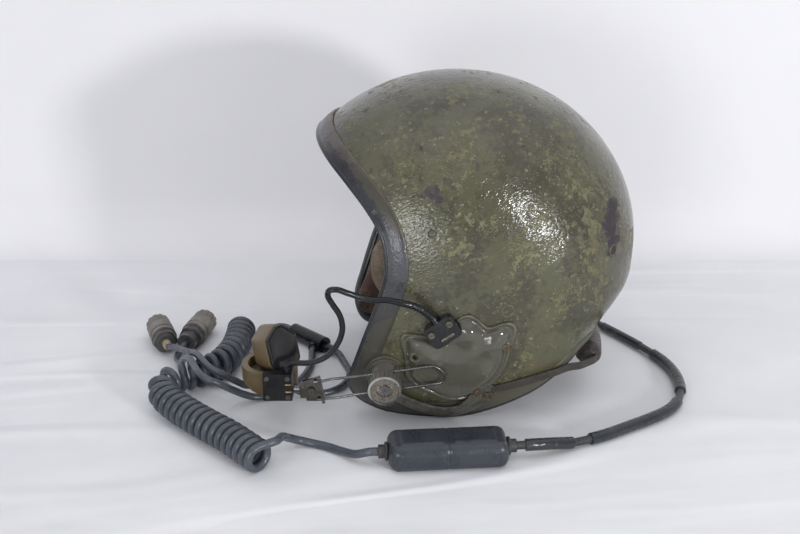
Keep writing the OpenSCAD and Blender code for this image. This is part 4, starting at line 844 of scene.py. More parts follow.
def shellReach(d):
    p, w, r = 2.5, shellForm["halfWidth"], np.full(np.shape(d)[:-1], 150.0)
    for _ in range(12):
        flat = sideReach(d[..., 0] * r, d[..., 2] * r) / r
        r = (flat ** p + (np.abs(d[..., 1]) / w) ** p) ** (-1 / p)
        p, w = fullness(d[..., 2] * r), widthAt(d[..., 2] * r)
    return r


def arcTo(d, t, start=pole):
    # part of the way from the start to each direction
    angle = np.arccos(np.clip(d @ start, -1, 1))[..., None]
    t = np.asarray(t, float)
    t = t[..., None] if t.ndim else t
    return (np.sin((1 - t) * angle) * start + np.sin(t * angle) * d) / np.sin(angle)


def onShell(d, depth=0):
    return shellCentre + d * (shellReach(d) - depth)[..., None]


def sidePoint(x, z, lift, side):
    return np.array([x, side * (float(sideY(x, z)) + lift), z])


def shellNormal(points):
    p = np.asarray(points, float)
    normal = np.zeros_like(p)
    for k in range(3):
        step = np.zeros(3)
        step[k] = 0.4
        for sign in (1, -1):
            q = p + sign * step - shellCentre
            normal[..., k] += sign * (np.linalg.norm(q, axis=-1) / shellReach(unitOf(q)))
    return unitOf(normal)


edgePoints = []
for i, (x, z) in enumerate(shellForm["edge"]):
    y = sideY(x + shellForm["centreX"], z + shellForm["level"]) if 0 < i < len(shellForm["edge"]) - 1 else 0
    edgePoints.append((x, float(y), z))
edgeLoop = np.array(edgePoints + [(x, -y, z) for x, y, z in edgePoints[-2:0:-1]])


def edgeDirections(steps):
    n = len(edgeLoop)
    return unitOf([bowed(*(edgeLoop[(i + j) % n] for j in (-1, 0, 1, 2)), k / steps) for i in range(n)
        for k in range(steps)])


def domeRings(directions, rows, depth):
    return [onShell(arcTo(directions, j / rows), depth) for j in range(1, rows + 1)]


def makeShell():
    n, rows, wall = len(edge), shellForm["rows"], shellForm["wall"]
    rings = domeRings(edge, rows, 0) + domeRings(edge, shellForm["insideRows"], wall)[::-1]
    faces = domeFaces(len(rings), n)
    inside = [int(k >= n * (rows + 1)) for k in range(len(faces))]
    return addPiece("paintedShell", np.vstack([onShell(pole), *rings, onShell(pole, wall)]), faces,
                    [finish["shellPaint"], finish["shellInside"]], inside, slot="shell_paint",
                    replaces=("shell",))


edge = edgeDirections(shellForm["steps"])
makeShell()

# trim: a rubber channel of even width, with a thin cloth edge outside and a glossy bead round the opening
trimForm = {"section": [(-17, 0.1), (-17.3, 0.5), (-17.15, 1), (-16.6, 1.3), (-15.6, 1.9), (-14, 2.3),
                        (-10, 2.5), (-6, 2.55), (-2.6, 2.5), (-1.6, 2.2), (-1.2, 2.3), (-0.4, 2.75),
                        (0.8, 2.85), (1.9, 2.4), (2.5, 1.3), (2.7, -0.6), (2.7, -3.6), (2.3, -5.6), (1, -6.7),
                        (-1, -6.8), (-2.2, -6.3), (-8, -6.3), (-8.8, -5.9), (-9, -4.2)],
            "width": 17, "cloth": (0, 3), "bead": (10, 20), "foot": 0.15}
edgeBase = onShell(edge)
edgeAlong = unitOf(np.roll(edgeBase, -2, 0) - np.roll(edgeBase, 2, 0))
edgeOut = np.cross(edgeAlong, shellNormal(edgeBase))
edgeOut *= np.sign((edgeOut * (edgeBase - shellCentre - pole * 40)).sum(1))[:, None]
for _ in range(6):
    edgeOut = unitOf(np.roll(edgeOut, 1, 0) + 2 * edgeOut + np.roll(edgeOut, -1, 0))


def besideEdge(s, depth):
    # s runs over the surface, outwards from the edge; depth stands off the outer surface
    # towards the nape the band narrows and lies flatter
    back = soften((edgeBase[:, :1] - 15) / 60)
    d = unitOf(edgeBase + edgeOut * s * (1 - 0.55 * back * (s < 0)) - shellCentre)
    return shellCentre + d * (shellReach(d)[:, None] + depth * (1 - 0.6 * back * (depth > 0)))


def makeTrim():
    count, n, width = len(trimForm["section"]), len(edge), trimForm["width"]
    rings = [besideEdge(s, depth) for s, depth in trimForm["section"]]
    for ring in rings:
        ring[:, 2] = np.maximum(ring[:, 2], trimForm["foot"])
    front = (edgeBase[:, 2] > 150) & (edgeBase[:, 0] < -40)
    kinds = []
    for j in range(count):
        if trimForm["cloth"][0] <= j < trimForm["cloth"][1]:
            kinds += [int(f) for f in front]
        else:
            kinds += [2 if trimForm["bead"][0] <= j < trimForm["bead"][1] else 0] * n
    trim = addPiece("rubberTrim", np.vstack(rings), gridFaces(count, n, loopRows=True),
                    [finish["trimRubber"], finish["trimEdge"], finish["trimBead"]], kinds,
                    sharp=60, slot="rubber", replaces=("rim_trim",))
    across = [(s + width) / width for s, _ in trimForm["section"] for _ in range(n)]
    trim.data.attributes.new("across", "FLOAT", "POINT").data.foreach_set("value", across)


makeTrim()
print("shell and trim made")


# foam liner and its leather pads
linerForm = {"gap": 1.3, "wall": 15, "rows": 18, "reach": 0.87, "angle": 100, "wave": 0.35, "lip": 2.5,
             "edge": ((1.003, 6.5), (1.006, 10), (1.003, 13.5))}
linerTop = shellForm["wall"] + linerForm["gap"]
linerDepth = linerTop + linerForm["wall"]


def makeLiner():
    directions = edgeDirections(3)
    reach = np.minimum(linerForm["reach"], math.radians(linerForm["angle"]) / np.arccos(directions @ pole))
    low, rows = arcTo(directions, reach), linerForm["rows"]
    rings = domeRings(low, rows, linerTop) + [onShell(arcTo(low, part), depth)
        for part, depth in linerForm["edge"]]
    for j in range(rows, 0, -1):
        wave = linerForm["wave"] * np.sin(np.arange(len(low)) * 0.7 + j) * np.sin(j * 1.3)
        rings.append(onShell(arcTo(low, j / rows), linerDepth + wave - (linerForm["lip"] if j == rows else 0)))
    return addPiece("foamLiner", np.vstack([onShell(pole, linerTop), *rings, onShell(pole, linerDepth)]),
                    domeFaces(len(rings), len(low)), [finish["linerFoam"]], slot="foam",
                    replaces=("impact_liner",))


makeLiner()
# each pad: middle, half its width and height in degrees, places of its channels
padForm = {"thick": 10, "rows": 16, "columns": 72, "welt": 1.1, "fill": 0.8,
           "edge": ((1.01, 4.2), (1, 1.9), (0.985, 0.3)),
           "pads": {"crown": ((0.1, 0, 1), 24, 30, (-0.5, 0, 0.5)),
                    "brow": ((-0.59, 0, 0.81), 26, 7, (-0.6, 0, 0.6)),
                    "nape": ((1, 0, -0.12), 30, 11, (-0.6, -0.2, 0.2, 0.6))}}


def makeLinerPad(label, centre, wide, high, channels):
    centre, across = unitOf(centre), np.array([0, 1.0, 0])
    wide, high = math.tan(math.radians(wide)), math.tan(math.radians(high))
    angles = turns(padForm["columns"])
    rim = unitOf(centre + across * (wide * np.cos(angles))[:, None]
                 + np.cross(centre, across) * (high * np.sin(angles))[:, None])

    def crown(t, d):
        swell = 0.35 + 0.65 * math.sqrt(max(0, 1 - t ** 3))
        groove = sum(np.exp(-((d @ across / wide - c) / 0.045) ** 2) for c in channels)
        crease = 0.3 * np.sin(angles * 9 + t * 5) * t
        return linerDepth + 1.6 + padForm["thick"] * (swell * (1 - 0.3 * groove) + 0.02 * crease)

    rings = []
    for j in range(1, padForm["rows"] + 1):
        t = j / padForm["rows"]
        d = arcTo(rim, t, centre)
        rings.append(onShell(d, crown(t, d)))
    rings += [onShell(arcTo(rim, part, centre), linerDepth + depth) for part, depth in padForm["edge"]]
    top = onShell(centre, float(np.mean(crown(0, centre[None]))))
    pad = addPiece(label + "Pad", np.vstack([top, *rings, onShell(centre, linerDepth + 0.3)]),
                   domeFaces(len(rings), len(angles)), [finish["brownLeather"]], slot="leather",
                   replaces=(label + "_pad",))
    welt = onShell(arcTo(rim, 1, centre), linerDepth + 4.4)
    addLoop(label + "PadWelt", welt, padForm["welt"], finish["seamThread"], "leather")


for label, values in padForm["pads"].items():
    makeLinerPad(label, *values)

# ear pads: soft leather rings with a gathered inner edge and a welt
earForm = {"hole": (-20, 66), "holeRadius": 22.3, "centreX": -38, "half": (62, 43), "power": 2.4, "wall": 27,
           "columns": 120, "gathers": 26, "welt": 1, "weltAt": 0.42, "fill": 0.85,
           "section": [(0, 0.05), (-0.01, 0.3), (0, 0.55), (0.04, 0.76), (0.14, 0.9), (0.3, 0.975), (0.5, 1),
                       (0.7, 0.975), (0.86, 0.88), (0.96, 0.7), (1, 0.5), (1, 0.25), (0.985, 0.05)]}


def earOutline(angle, scale=1):
    c, s, p = math.cos(angle), math.sin(angle), earForm["power"]
    reach = scale * (abs(c) ** p + abs(s) ** p) ** (-1 / p)
    return np.array([earForm["centreX"] + earForm["half"][0] * reach * c,
        earForm["hole"][1] + earForm["half"][1] * reach * s])


def makeEarPad(label, side):
    section = smoothLine([(a, b, 0) for a, b in earForm["section"]], 0.05)[:, :2]
    across, deep = section.T
    rings, welt = [], []
    for a in turns(earForm["columns"]):
        inner, outer = earForm["hole"] + earForm["holeRadius"] * np.array([math.cos(a),
            math.sin(a)]), earOutline(a)
        x, z = (inner + (outer - inner) * section[:, :1]).T
        gather = 0.5 * math.sin(a * earForm["gathers"]) * np.exp(-((across - 0.04) / 0.16) ** 2)
        sag = 0.5 * math.sin(a * 7 + 1) * np.exp(-((across - 0.9) / 0.2) ** 2)
        depth = shellForm["wall"] + 0.4 + (earForm["wall"] - 0.9) * deep + gather + sag
        rings.append(np.stack([x, side * (sideY(x, z) - depth), z], 1))
        welt.append(sidePoint(*outer, -shellForm["wall"] - earForm["wall"] * earForm["weltAt"], side))
    pad = addPiece("earPad" + label, np.vstack(rings), gridFaces(len(rings), len(section), loopRows=True),
                   [finish["earLeather"]], slot="leather", replaces=("ear_pad_" + label.lower(),))
    addLoop("earPad" + label + "Welt", welt, earForm["welt"], finish["seamThread"], "leather")


# leather between each ear pad and the opening
cheekForm = {"rows": 14, "depth": (7.2, 17), "fold": 1.1, "bulge": 15, "bulgeAt": 24, "bulgeWide": 20,
    "thick": 0.0012}


def makeCheekLining(label, side):
    low, high = cheekForm["depth"]
    start = besideEdge(-1.5, -low)[(edgeBase[:, 1] > 5) & (edgeBase[:, 0] < 22) & (edgeBase[:, 2] < 184)]
    points = []
    for t in np.linspace(0, 1, cheekForm["rows"]):
        for k, p in enumerate(start):
            x1, z1 = earOutline(math.atan2(p[2] - earForm["hole"][1], p[0] - earForm["centreX"]), 0.96)
            x, z = p[0] + (x1 - p[0]) * t, p[2] + (z1 - p[2]) * t
            depth = low + (high - low) * math.sin(t * math.pi / 2)
            depth += cheekForm["fold"] * math.sin(k * 0.55 + t * 2.5) * math.sin(math.pi * t)
            if p[0] < 0:  # the corner beside the mouth bulges past the trim
                bulge = cheekForm["bulge"] * math.exp(-((z - cheekForm["bulgeAt"]) / cheekForm["bulgeWide"]) ** 2)
                x -= bulge * 4 * t * (1 - t) * (1 if side > 0 else 0.3)
            x, y, z = sidePoint(x, z, -depth, side) if t else p * (1, side, 1)
            points.append((x, y, max(z, 1)))
    piece = addPiece("cheekLining" + label, points, gridFaces(cheekForm["rows"], len(start), loopCols=False),
                     [finish["brownLeather"]], slot="leather")
    thick = piece.modifiers.new("thick", "SOLIDIFY")
    thick.thickness, thick.offset = cheekForm["thick"], 0


for label, side in bothSides:
    makeCheekLining(label, side)
for label, side in bothSides:
    makeEarPad(label, side)

# nape roll: a stuffed leather roll, gathered at both ends, with a seam along its underside
rollForm = {"centre": (-168, 0, 39.5), "bend": 276.5, "half": 12.6, "radius": 12, "sides": 40, "rows": 110,
            "end": 2.4, "fill": 0.95}


def makeNapeRoll():
    angles, turn = np.linspace(-rollForm["half"], rollForm["half"],
        rollForm["rows"]), turns(rollForm["sides"])
    near = np.clip((rollForm["half"] - np.abs(angles)) / rollForm["end"], 0, 1)
    radii = rollForm["radius"] * (0.12 + 0.88 * np.sqrt(1 - (1 - near) ** 2))
    rings = []
    for a, r, n in zip(np.radians(angles), radii, near):
        out = np.array([math.cos(a), math.sin(a), 0])
        pucker = 1 + 0.05 * np.sin(turn * 11) * (1 - n) + 0.012 * np.sin(turn * 3 + a * 14)
        reach = (r * pucker * (1 - 0.05 * np.exp(-((turn - 4.4) / 0.12) ** 2)))[:, None]
        rings.append(rollForm["centre"] + rollForm["bend"] * out + reach * np.cos(turn)[:, None] * out
                     + reach * np.sin(turn)[:, None] * np.array([0, 0, 1]))
    roll = addPiece("napeRoll", np.vstack(rings), tubeFaces(len(rings), rollForm["sides"]),
                    [finish["rollLeather"]], slot="leather", replaces=("nape_roll",))


makeNapeRoll()
print("liner, pads and roll made")


# straps: bands with rounded edges and a row of stitches along each side
bandForm = [(-1, 0.2), (-1, 0.8), (-0.95, 0.95), (-0.86, 1), (-0.5, 0.96), (0, 1.02), (0.5, 0.96), (0.86, 1),
            (0.95, 0.95), (1, 0.8), (1, 0.2), (0.95, 0), (0, 0), (-0.95, 0)]
# each stitch is one long low lump
stitchForm = {"step": 3.1, "size": (1.1, 0.28, 0.22), "inset": 1.6,
              "corners": ((-1, 0, 0), (-0.6, -1, 0), (-0.6, 0, 1), (-0.6, 1, 0), (0.6, -1, 0), (0.6, 0, 1),
                  (0.6, 1, 0), (1, 0, 0)),
              "faces": ((0, 2, 1), (0, 3, 2), (1, 2, 5, 4), (2, 3, 6, 5), (4, 5, 7), (5, 6, 7), (0, 1, 3),
                  (1, 4, 6, 3), (4, 7, 6))}


def addStitches(name, path, outward, across, offset):
    points, faces, reach, step = [], [], reachAlong(path), stitchForm["step"]
    long, wide, high = stitchForm["size"]
    for s in np.arange(step, reach[-1] - step, step):
        k = int(np.searchsorted(reach, s))
        c = path[k] + across[k] * offset + outward[k] * 0.05
        t = unitOf(path[min(k + 1, len(path) - 1)] - path[k - 1])
        faces += [tuple(len(points) + v for v in face) for face in stitchForm["faces"]]
        points += [c + t * u * long + across[k] * v * wide + outward[k] * w * high
            for u, v, w in stitchForm["corners"]]
    return addPiece(name, points, faces, [finish["seamThread"]], slot="leather")


def makeBand(name, node, path, outward, widths, wall, look):
    along = unitOf(np.gradient(path, axis=0))
    outward = unitOf(outward - (outward * along).sum(1)[:, None] * along)
    across = np.cross(along, outward)
    rings = [[c + a * (u * w / 2) + o * (v * wall) for u, v in bandForm]
        for c, o, a, w in zip(path, outward, across, widths)]
    addPiece(name, np.vstack(rings), tubeFaces(len(rings), len(bandForm)), [finish[look]], sharp=50,
             slot="leather", replaces=(node,))
    for letter, way in (("A", -1), ("B", 1)):
        offset = way * (float(np.min(widths)) / 2 - stitchForm["inset"])
        addStitches(name + "Stitch" + letter, path + outward * wall, outward, across, offset)


strapForm = {"line": [(10.5, 41), (7, 37.5), (2, 32), (-6, 22), (-16, 13.2), (-29, 9.4), (-42, 11.4),
                      (-55, 16.4), (-68, 23.4), (-76, 28)],
             "widths": ([0, 0.015, 0.04, 0.08, 0.16, 0.24, 0.36, 1], [9, 15, 18.5, 20, 19.5, 17, 13, 12]),
             "wall": 2.2, "lift": 3.2}


def makeSideStrap(label, side):
    x, z, _ = smoothLine([(x, z, 0) for x, z in strapForm["line"]], 1.5).T
    widths = np.interp(np.linspace(0, 1, len(x)), *strapForm["widths"])
    lift = np.maximum(0.3, strapForm["lift"] - np.maximum(0, z - 24) * 0.2)
    line = np.stack([x, sideY(x, z) + lift, z], 1)
    outward = shellNormal(line)
    for part in (line, outward):
        part[:, 1] *= side
    makeBand("sideStrap" + label, "side_strap_" + label.lower(), line, outward, widths, strapForm["wall"],
        "strapLeather")


# the nape strap: x, z and lift on the shell's side, then x, y and z to the roll
napeStrap = {"width": 7, "wall": 1.8, "line": [(10, 36.5, 2.8), (26, 40.5, 3.2), (40, 44.5, 3.8),
                                               (54, 47.5, 4.4), (68, 49, 4.8), (79, 48.5, 5.2)],
             "end": [(90, 90, 46.5), (98.5, 79, 43.5), (105.5, 69, 41), (109.5, 61.5, 39.5)]}


def makeNapeStrap(label, side):
    line = smoothLine([sidePoint(*place, 1) for place in napeStrap["line"]] + napeStrap["end"], 1.6)
    outward = -unitOf(np.cross(unitOf(np.gradient(line, axis=0)), [0, 0, 1]))
    line = line - outward * napeStrap["wall"] / 2
    for part in (line, outward):
        part[:, 1] *= side
    makeBand("napeStrap" + label, "nape_strap_" + label.lower(), line, outward,
             np.full(len(line), napeStrap["width"]), napeStrap["wall"], "napeLeather")


for label, side in bothSides:
    makeSideStrap(label, side)
for label, side in bothSides:
    makeNapeStrap(label, side)
print("straps made")


# side covers: smooth pressings with a flange, lobes and screw lugs
coverForm = {"centre": (-22, 64), "rise": 6.5, "lift": 0.4, "columns": 220, "lugs": ((20, 83), (-57, 73)),
             "hole": 2.6, "outline": [(-165, 45), (-150, 43), (-135, 40), (-120, 38.5), (-105, 40), (-90, 41),
                         (-75, 40), (-62, 38), (-50, 37.2), (-38, 37.4), (-27, 38.4), (-16, 40), (-5, 41.8),
                         (6, 44.3), (15, 47.2), (22, 51.6), (28, 55.6), (33, 60), (38, 61.6), (43, 59),
                         (47, 53.5), (50.5, 47.4), (54.5, 44.6), (61, 45.2), (70, 48), (78, 49.2), (86, 46.5),
                         (97, 37), (108, 29), (121, 29.5), (131, 35.5), (140, 44), (147, 52.5), (152, 53),
                         (158, 50), (167, 45.2), (180, 43.2)],
             "profile": [(1, 0), (1.006, 0.14), (1, 0.29), (0.986, 0.37), (0.968, 0.37), (0.95, 0.29),
                         (0.935, 0.21), (0.915, 0.2), (0.9, 0.24), (0.885, 0.36), (0.865, 0.57), (0.84, 0.76),
                         (0.805, 0.9), (0.76, 0.97), (0.7, 1), (0.62, 1), (0.54, 1), (0.45, 1), (0.36, 1),
                         (0.27, 1), (0.18, 1), (0.09, 1)],
             "swells": [(-11.5, 94, 5.8, 3), (8.5, 84.5, 5, 3.4), (-41.5, 73, 5.2, 3), (-56, 84, 5, 1.6),
                        (-15, 40, 9, 0.8), (-1.5, 92, 5, -2), (-24, 82, 7, -1), (-50, 58, 8, -0.9),
                        (14, 66, 8, -0.8)]}
connector = {"place": (-34, 99), "turn": 36, "face": 132.873, "size": (28.8, 21.8), "corner": 5.4}


def onConnector(u, v, w):
    x, z = rotated(u, v, math.radians(connector["turn"]))
    return connector["place"][0] + x, w - connector["face"], connector["place"][1] + z


def carve(piece, cutters):
    for cutter in cutters:
        change = piece.modifiers.new("carve", "BOOLEAN")
        change.operation, change.solver, change.object = "DIFFERENCE", "EXACT", cutter
    bpy.context.view_layer.update()
    done = bpy.data.meshes.new_from_object(piece.evaluated_get(bpy.context.evaluated_depsgraph_get()))
    piece.modifiers.clear()
    piece.data = done
    for cutter in cutters:
        bpy.data.objects.remove(cutter)
    done.polygons.foreach_set("use_smooth", [True] * len(done.polygons))
    done.set_sharp_from_angle(angle=math.radians(38))


def prism(name, outline, low, high, place):
    count = len(outline)
    points = [place(x, y, low) for x, y in outline] + [place(x, y, high) for x, y in outline]
    faces = [tuple(range(count)), tuple(range(2 * count - 1, count - 1, -1))]
    faces += [(i, (i + 1) % count, count + (i + 1) % count, count + i) for i in range(count)]
    return addPiece(name, points, faces, [], body=None)


def makeSideCover(label, side):
    angles, values = np.radians([a for a, _ in coverForm["outline"]]), [r for _, r in coverForm["outline"]]
    n, count, around = coverForm["columns"], len(values), []
    for a in angles[0] + turns(n):
        k = int(np.searchsorted(angles, a, side="right")) - 1
        a0, a1 = angles[k], angles[(k + 1) % count] + (2 * math.pi if k + 1 == count else 0)
        r = bowed(*(values[(k + j) % count] for j in (-1, 0, 1, 2)), (a - a0) / (a1 - a0))
        around.append((r * math.cos(a), r * math.sin(a)))
    cx, cz = coverForm["centre"]
    lift, rise = coverForm["lift"], coverForm["rise"]
    rings = []
    for q, h in [(0.5, -0.02), *coverForm["profile"]]:
        ring = []
        for u, v in around:
            x, z, level = cx + q * u, cz + q * v, h
            for lx, lz in coverForm["lugs"]:
                level = max(level, float(1 - soften((math.hypot(x - lx, z - lz) - 4.4) / 3.2)) * (h > 0))
            swell = sum(a * math.exp(-((x - sx) ** 2 + (z - sz) ** 2) / (2 * w * w))
                for sx, sz, w, a in coverForm["swells"])
            swell *= float(soften((h - 0.3) / 0.7)) * (q < 0.9)
            ring.append(sidePoint(x, z, lift + rise * level + swell, side))
        rings.append(ring)
    points = np.vstack([sidePoint(cx, cz, lift, side), *rings, sidePoint(cx, cz, lift + rise, side)])
    faces = domeFaces(len(rings), n)
    # the rim's outermost strip is worn
    worn = [int(2 * n <= k < 5 * n) for k in range(len(faces))]
    cover = addPiece("sideCover" + label, points, faces, [finish["coverPaint"], finish["coverEdge"]], worn,
                     slot="shell_paint", replaces=("side_cover_" + label.lower(),))
    ring = [(coverForm["hole"] * math.cos(a), coverForm["hole"] * math.sin(a)) for a in turns(28)]
    cutters = []
    for place in coverForm["lugs"]:
        middle = sidePoint(*place, 0, side)
        cutters.append(prism("hole", ring, 1.6, 30, lambda u, v, w, middle=middle: middle + (u, side * w, v)))
    if side < 0:
        w, h, c = connector["size"][0] / 2, connector["size"][1] / 2, connector["corner"]
        ring = [(sx * (w - c) + c * math.cos(math.radians(a)), sy * (h - c) + c * math.sin(math.radians(a)))
                for sx, sy, a0 in ((1, 1, 0), (-1, 1, 90), (-1, -1, 180), (1, -1, 270))
                for a in range(a0, a0 + 91, 15)]
        cutters.append(prism("notch", ring, -10, 12, onConnector))
    carve(cover, cutters)


for label, side in bothSides:
    makeSideCover(label, side)

# collars round the screws of the covers
lugForm = {"lift": 7.1, "ring": 3.9, "thick": 0.75, "squash": 0.7, "looks": ("rivetBrass", "coverPaint"),
    "sides": (48, 12)}


def addLugRing(name, centre, axis, look):
    axis = unitOf(axis)
    side = unitOf(np.cross(axis, [0.3, 0.1, 1]))
    rows, cols = lugForm["sides"]
    points = []
    for a in turns(rows):
        out = side * math.cos(a) + np.cross(axis, side) * math.sin(a)
        points += [centre + out * (lugForm["ring"] + lugForm["thick"] * math.cos(b))
                   + axis * lugForm["thick"] * lugForm["squash"] * math.sin(b) for b in turns(cols)]
    addPiece(name, points, gridFaces(rows, cols, loopRows=True), [finish[look]], slot="steel")


for label, side in bothSides:
    for k, place in enumerate(coverForm["lugs"]):
        normal = shellNormal(sidePoint(*place, 0, 1)[None])[0] * (1, side, 1)
        addLugRing(f"lugRing{label}{k}", sidePoint(*place, lugForm["lift"], side),
            normal * 0.6 + (0, side, 0), lugForm["looks"][k])

# small domed stud and filled screw holes in the paint: x, y, z and a radius
studForm = {"place": (-43.8, 183.2), "radius": 3.9, "rise": 2.8, "rows": 9, "sides": 28}
plugMarks = [(-96, -66, 252.1, 3.6), (20.7, -122.3, 114.6, 5.2), (22.6, -122.4, 132.1, 3.4),
             (113.2, -81.3, 153.4, 4.6), (-96, 66, 252.1, 3.6), (20.7, 122.3, 114.6, 5.2)]


def shellAxes(centre, lean):
    normal = shellNormal(centre[None])[0]
    across = unitOf(np.cross(normal, [lean, 0, 1]))
    return normal, across, np.cross(normal, across)


for label, side in bothSides:
    centre = sidePoint(*studForm["place"], 0, 1)
    normal, across, up = shellAxes(centre, 0)
    points = []
    for t in np.linspace(0.02, 1, studForm["rows"]):
        rise = studForm["rise"] * math.sqrt(max(0, 1 - t ** 2)) - 0.4 * (t >= 1)
        points += [centre + studForm["radius"] * t * (across * math.cos(a) + up * math.sin(a)) + normal * rise
                   for a in turns(studForm["sides"])]
    faces = gridFaces(studForm["rows"], studForm["sides"]) + [tuple(range(studForm["sides"]))]
    addPiece("domeStud" + label, np.array(points) * (1, side, 1), faces, [finish["studPaint"]], slot="steel")
for k, (x, y, z, r) in enumerate(plugMarks):
    centre = np.array([x, y, z])
    _, across, up = shellAxes(centre, 0.1)
    ring = [centre + r * (across * math.cos(a) * (1 + 0.04 * math.sin(3 * a)) + up * math.sin(a))
        for a in turns(48)]
    addLoop(f"plugMark{k}", onShell(unitOf(ring - shellCentre)), 0.5, finish["ringPaint"], "shell_paint")
print("covers and studs made")


# in-line box: a rounded moulding in two halves with raised panels
boxForm = {"place": (-30.4, -174), "turn": 4.8, "size": (100, 38, 25), "round": 8.6, "panel": 0.95,
           "seam": 0.55, "foot": 0.1, "steps": (44, 26, 18), "ends": (0.85, 0.6, 0.35, 0.12)}


def makeBoxHalf(label, side):
    # side is -1 for the half towards the coil and 1 for the other, which is a touch smaller
    nx, ny, nz = boxForm["steps"]
    r = boxForm["round"] - 0.2 * side
    half = np.array(boxForm["size"]) / 2 - np.array([0, 0.25, 0.15]) * (side > 0)

    def onSurface(p):
        core = np.clip(p, r - half, half - r)
        normal = (p - core) / np.maximum(np.linalg.norm(p - core, axis=-1, keepdims=True), 1e-9)
        q = core + normal * r
        q[:, 0] = np.where(np.abs(p[:, 0]) < 1e-6, 0, q[:, 0])
        x, y, z = np.abs(q).T
        lengthwise = soften((x - 3.5) / 2) * soften((half[0] - 9.5 - x) / 2.5)
        wide = soften((half[1] - 6.5 - y) / 2.2) * (np.abs(normal[:, 2]) > 0.5)
        tall = soften((half[2] - 6 - z) / 2) * (np.abs(normal[:, 1]) > 0.5)
        raised = boxForm["panel"] * lengthwise * (wide + 0.6 * tall) - boxForm["seam"] * np.exp(-(x / 0.5) ** 2)
        return q + normal * raised[:, None]

    xs = side * np.concatenate([[0], np.linspace(0.4, half[0], nx)])
    ys, zs = np.linspace(-half[1], half[1], ny), np.linspace(-half[2], half[2], nz)
    ring = [(y, -half[2]) for y in ys[:-1]] + [(half[1], z) for z in zs[:-1]]
    ring += [(y, half[2]) for y in ys[:0:-1]] + [(-half[1], z) for z in zs[:0:-1]]
    rings = [onSurface(np.array([(x, y, z) for y, z in ring])) for x in xs]
    rings += [onSurface(np.array([(xs[-1], y * part, z * part) for y, z in ring]))
        for part in boxForm["ends"]]
    points = np.vstack(rings)
    x, y = rotated(points[:, 0], points[:, 1], math.radians(boxForm["turn"]))
    z = np.maximum(points[:, 2] + boxForm["size"][2] / 2, boxForm["foot"])
    points = np.stack([x + boxForm["place"][0], y + boxForm["place"][1], z], 1)
    addPiece("boxHalf" + label, points, tubeFaces(len(rings), len(ring)), [finish["boxBlack"]], sharp=50,
             slot="black_plastic", replaces=(f"box_{label.lower()}_half",))


for label, side in bothSides:
    makeBoxHalf(label, side)
print("in-line box made")


# solids whose shape is right: their own finish, and how many millimetres their edges are softened
dressing = [("ear_cup_left", "micBlack", 0.4), ("ear_cup_right", "micBlack", 0.4),
    ("earphone_left", "glandRubber", 0.3), ("earphone_right", "glandRubber", 0.3),
    ("cover_screws", "screwSteel", 0.25), ("cable_gland", "glandRubber", 0.9),
    ("connector_block", "connectorBlack", 0.6), ("connector_screws", "screwSteel", 0.3),
    ("strap_rivets", "rivetBrass", 0.3), ("boom_base", "basePaint", 0.8), ("clamp_pin", "pinSteel", 0.2),
    ("clamp_drum", "drumGrey", 0.7), ("clamp_knob", "knobSteel", 0.35), ("knob_face", "discBrown", 0.2),
    ("mic_bracket", "bracketSteel", 0.35), ("bracket_screw", "bracketSteel", 0.3),
    ("mic_shaft", "wireSteel", 0.3), ("mic_block", "micBlack", 0.7), ("block_screws", "discSilver", 0.2),
    ("mic_collar", "micBrown", 0.7), ("box_glands", "glandRubber", 0.9), ("y_junction", "micCableBlack", 1.2),
    ("plug_backshell_a", "plugDark", 0.6), ("plug_backshell_b", "plugDark", 0.6),
    ("plug_body_a", "plugGrey", 0.7), ("plug_body_b", "plugGrey", 0.7), ("coupling_ring_a", "plugGrey", 0.6),
    ("coupling_ring_b", "plugGrey", 0.6)]
for name, look, soft in dressing:
    piece = nodes[name]
    piece.data.materials.clear()
    piece.data.materials.append(finish[look])
    piece.data.polygons.foreach_set("use_smooth", [True] * len(piece.data.polygons))
    if name == "clamp_knob":  # only its front is bright
        piece.data.materials.append(finish["knobSide"])
        piece.data.polygons.foreach_set("material_index",
            [int(abs(face.normal.y) < 0.7) for face in piece.data.polygons])
    piece.modifiers.new("weld", "WELD").merge_threshold = 0.00002
    flat = piece.modifiers.new("flat", "DECIMATE")
    flat.decimate_type, flat.angle_limit = "DISSOLVE", math.radians(0.8)
    edges = piece.modifiers.new("edges", "BEVEL")
    edges.width, edges.segments, edges.limit_method, edges.angle_limit = soft * 0.001, 3, "ANGLE", math.radians(32)
    edges.harden_normals = False
    piece.modifiers.new("even", "WEIGHTED_NORMAL").keep_sharp = False
print("solids dressed:", len(dressing))

# boom: one wire, bent round at the back and splayed a little at the bracket; its line is given beside the
# clamp
boomForm = {"place": (-83, -108, 54), "tilt": 95, "rise": 22.63, "slope": 9, "radius": 1.15,
            "line": [(-60, 9, 0), (-53, 9, 0.2), (-45, 9.7, 0.3), (-26, 9, 0), (0, 9, 0), (22, 9, 0),
                     (37, 9, 0), (44, 8.4, 0), (48.5, 4.5, 0), (50.8, 0, 0), (50.8, -4, 0), (48, -8.2, 0),
                     (40, -9, 0), (22, -9, 0), (0, -9, 0), (-26, -9, 0), (-45, -9.5, 0.3), (-53, -9, 0.2),
                     (-60, -9, 0)]}


def boomPoint(x, y, z):
    x, y = rotated(x, y, math.radians(boomForm["slope"]))
    y, z = rotated(y, boomForm["rise"] + z, math.radians(boomForm["tilt"]))
    return np.array(boomForm["place"]) + (x, y, z)


addTube("boomWire", smoothLine([boomPoint(*p) for p in boomForm["line"]], 1.5), boomForm["radius"],
        finish["wireSteel"], sides=14, body="boom", slot="steel", replaces=("boom_wire",))

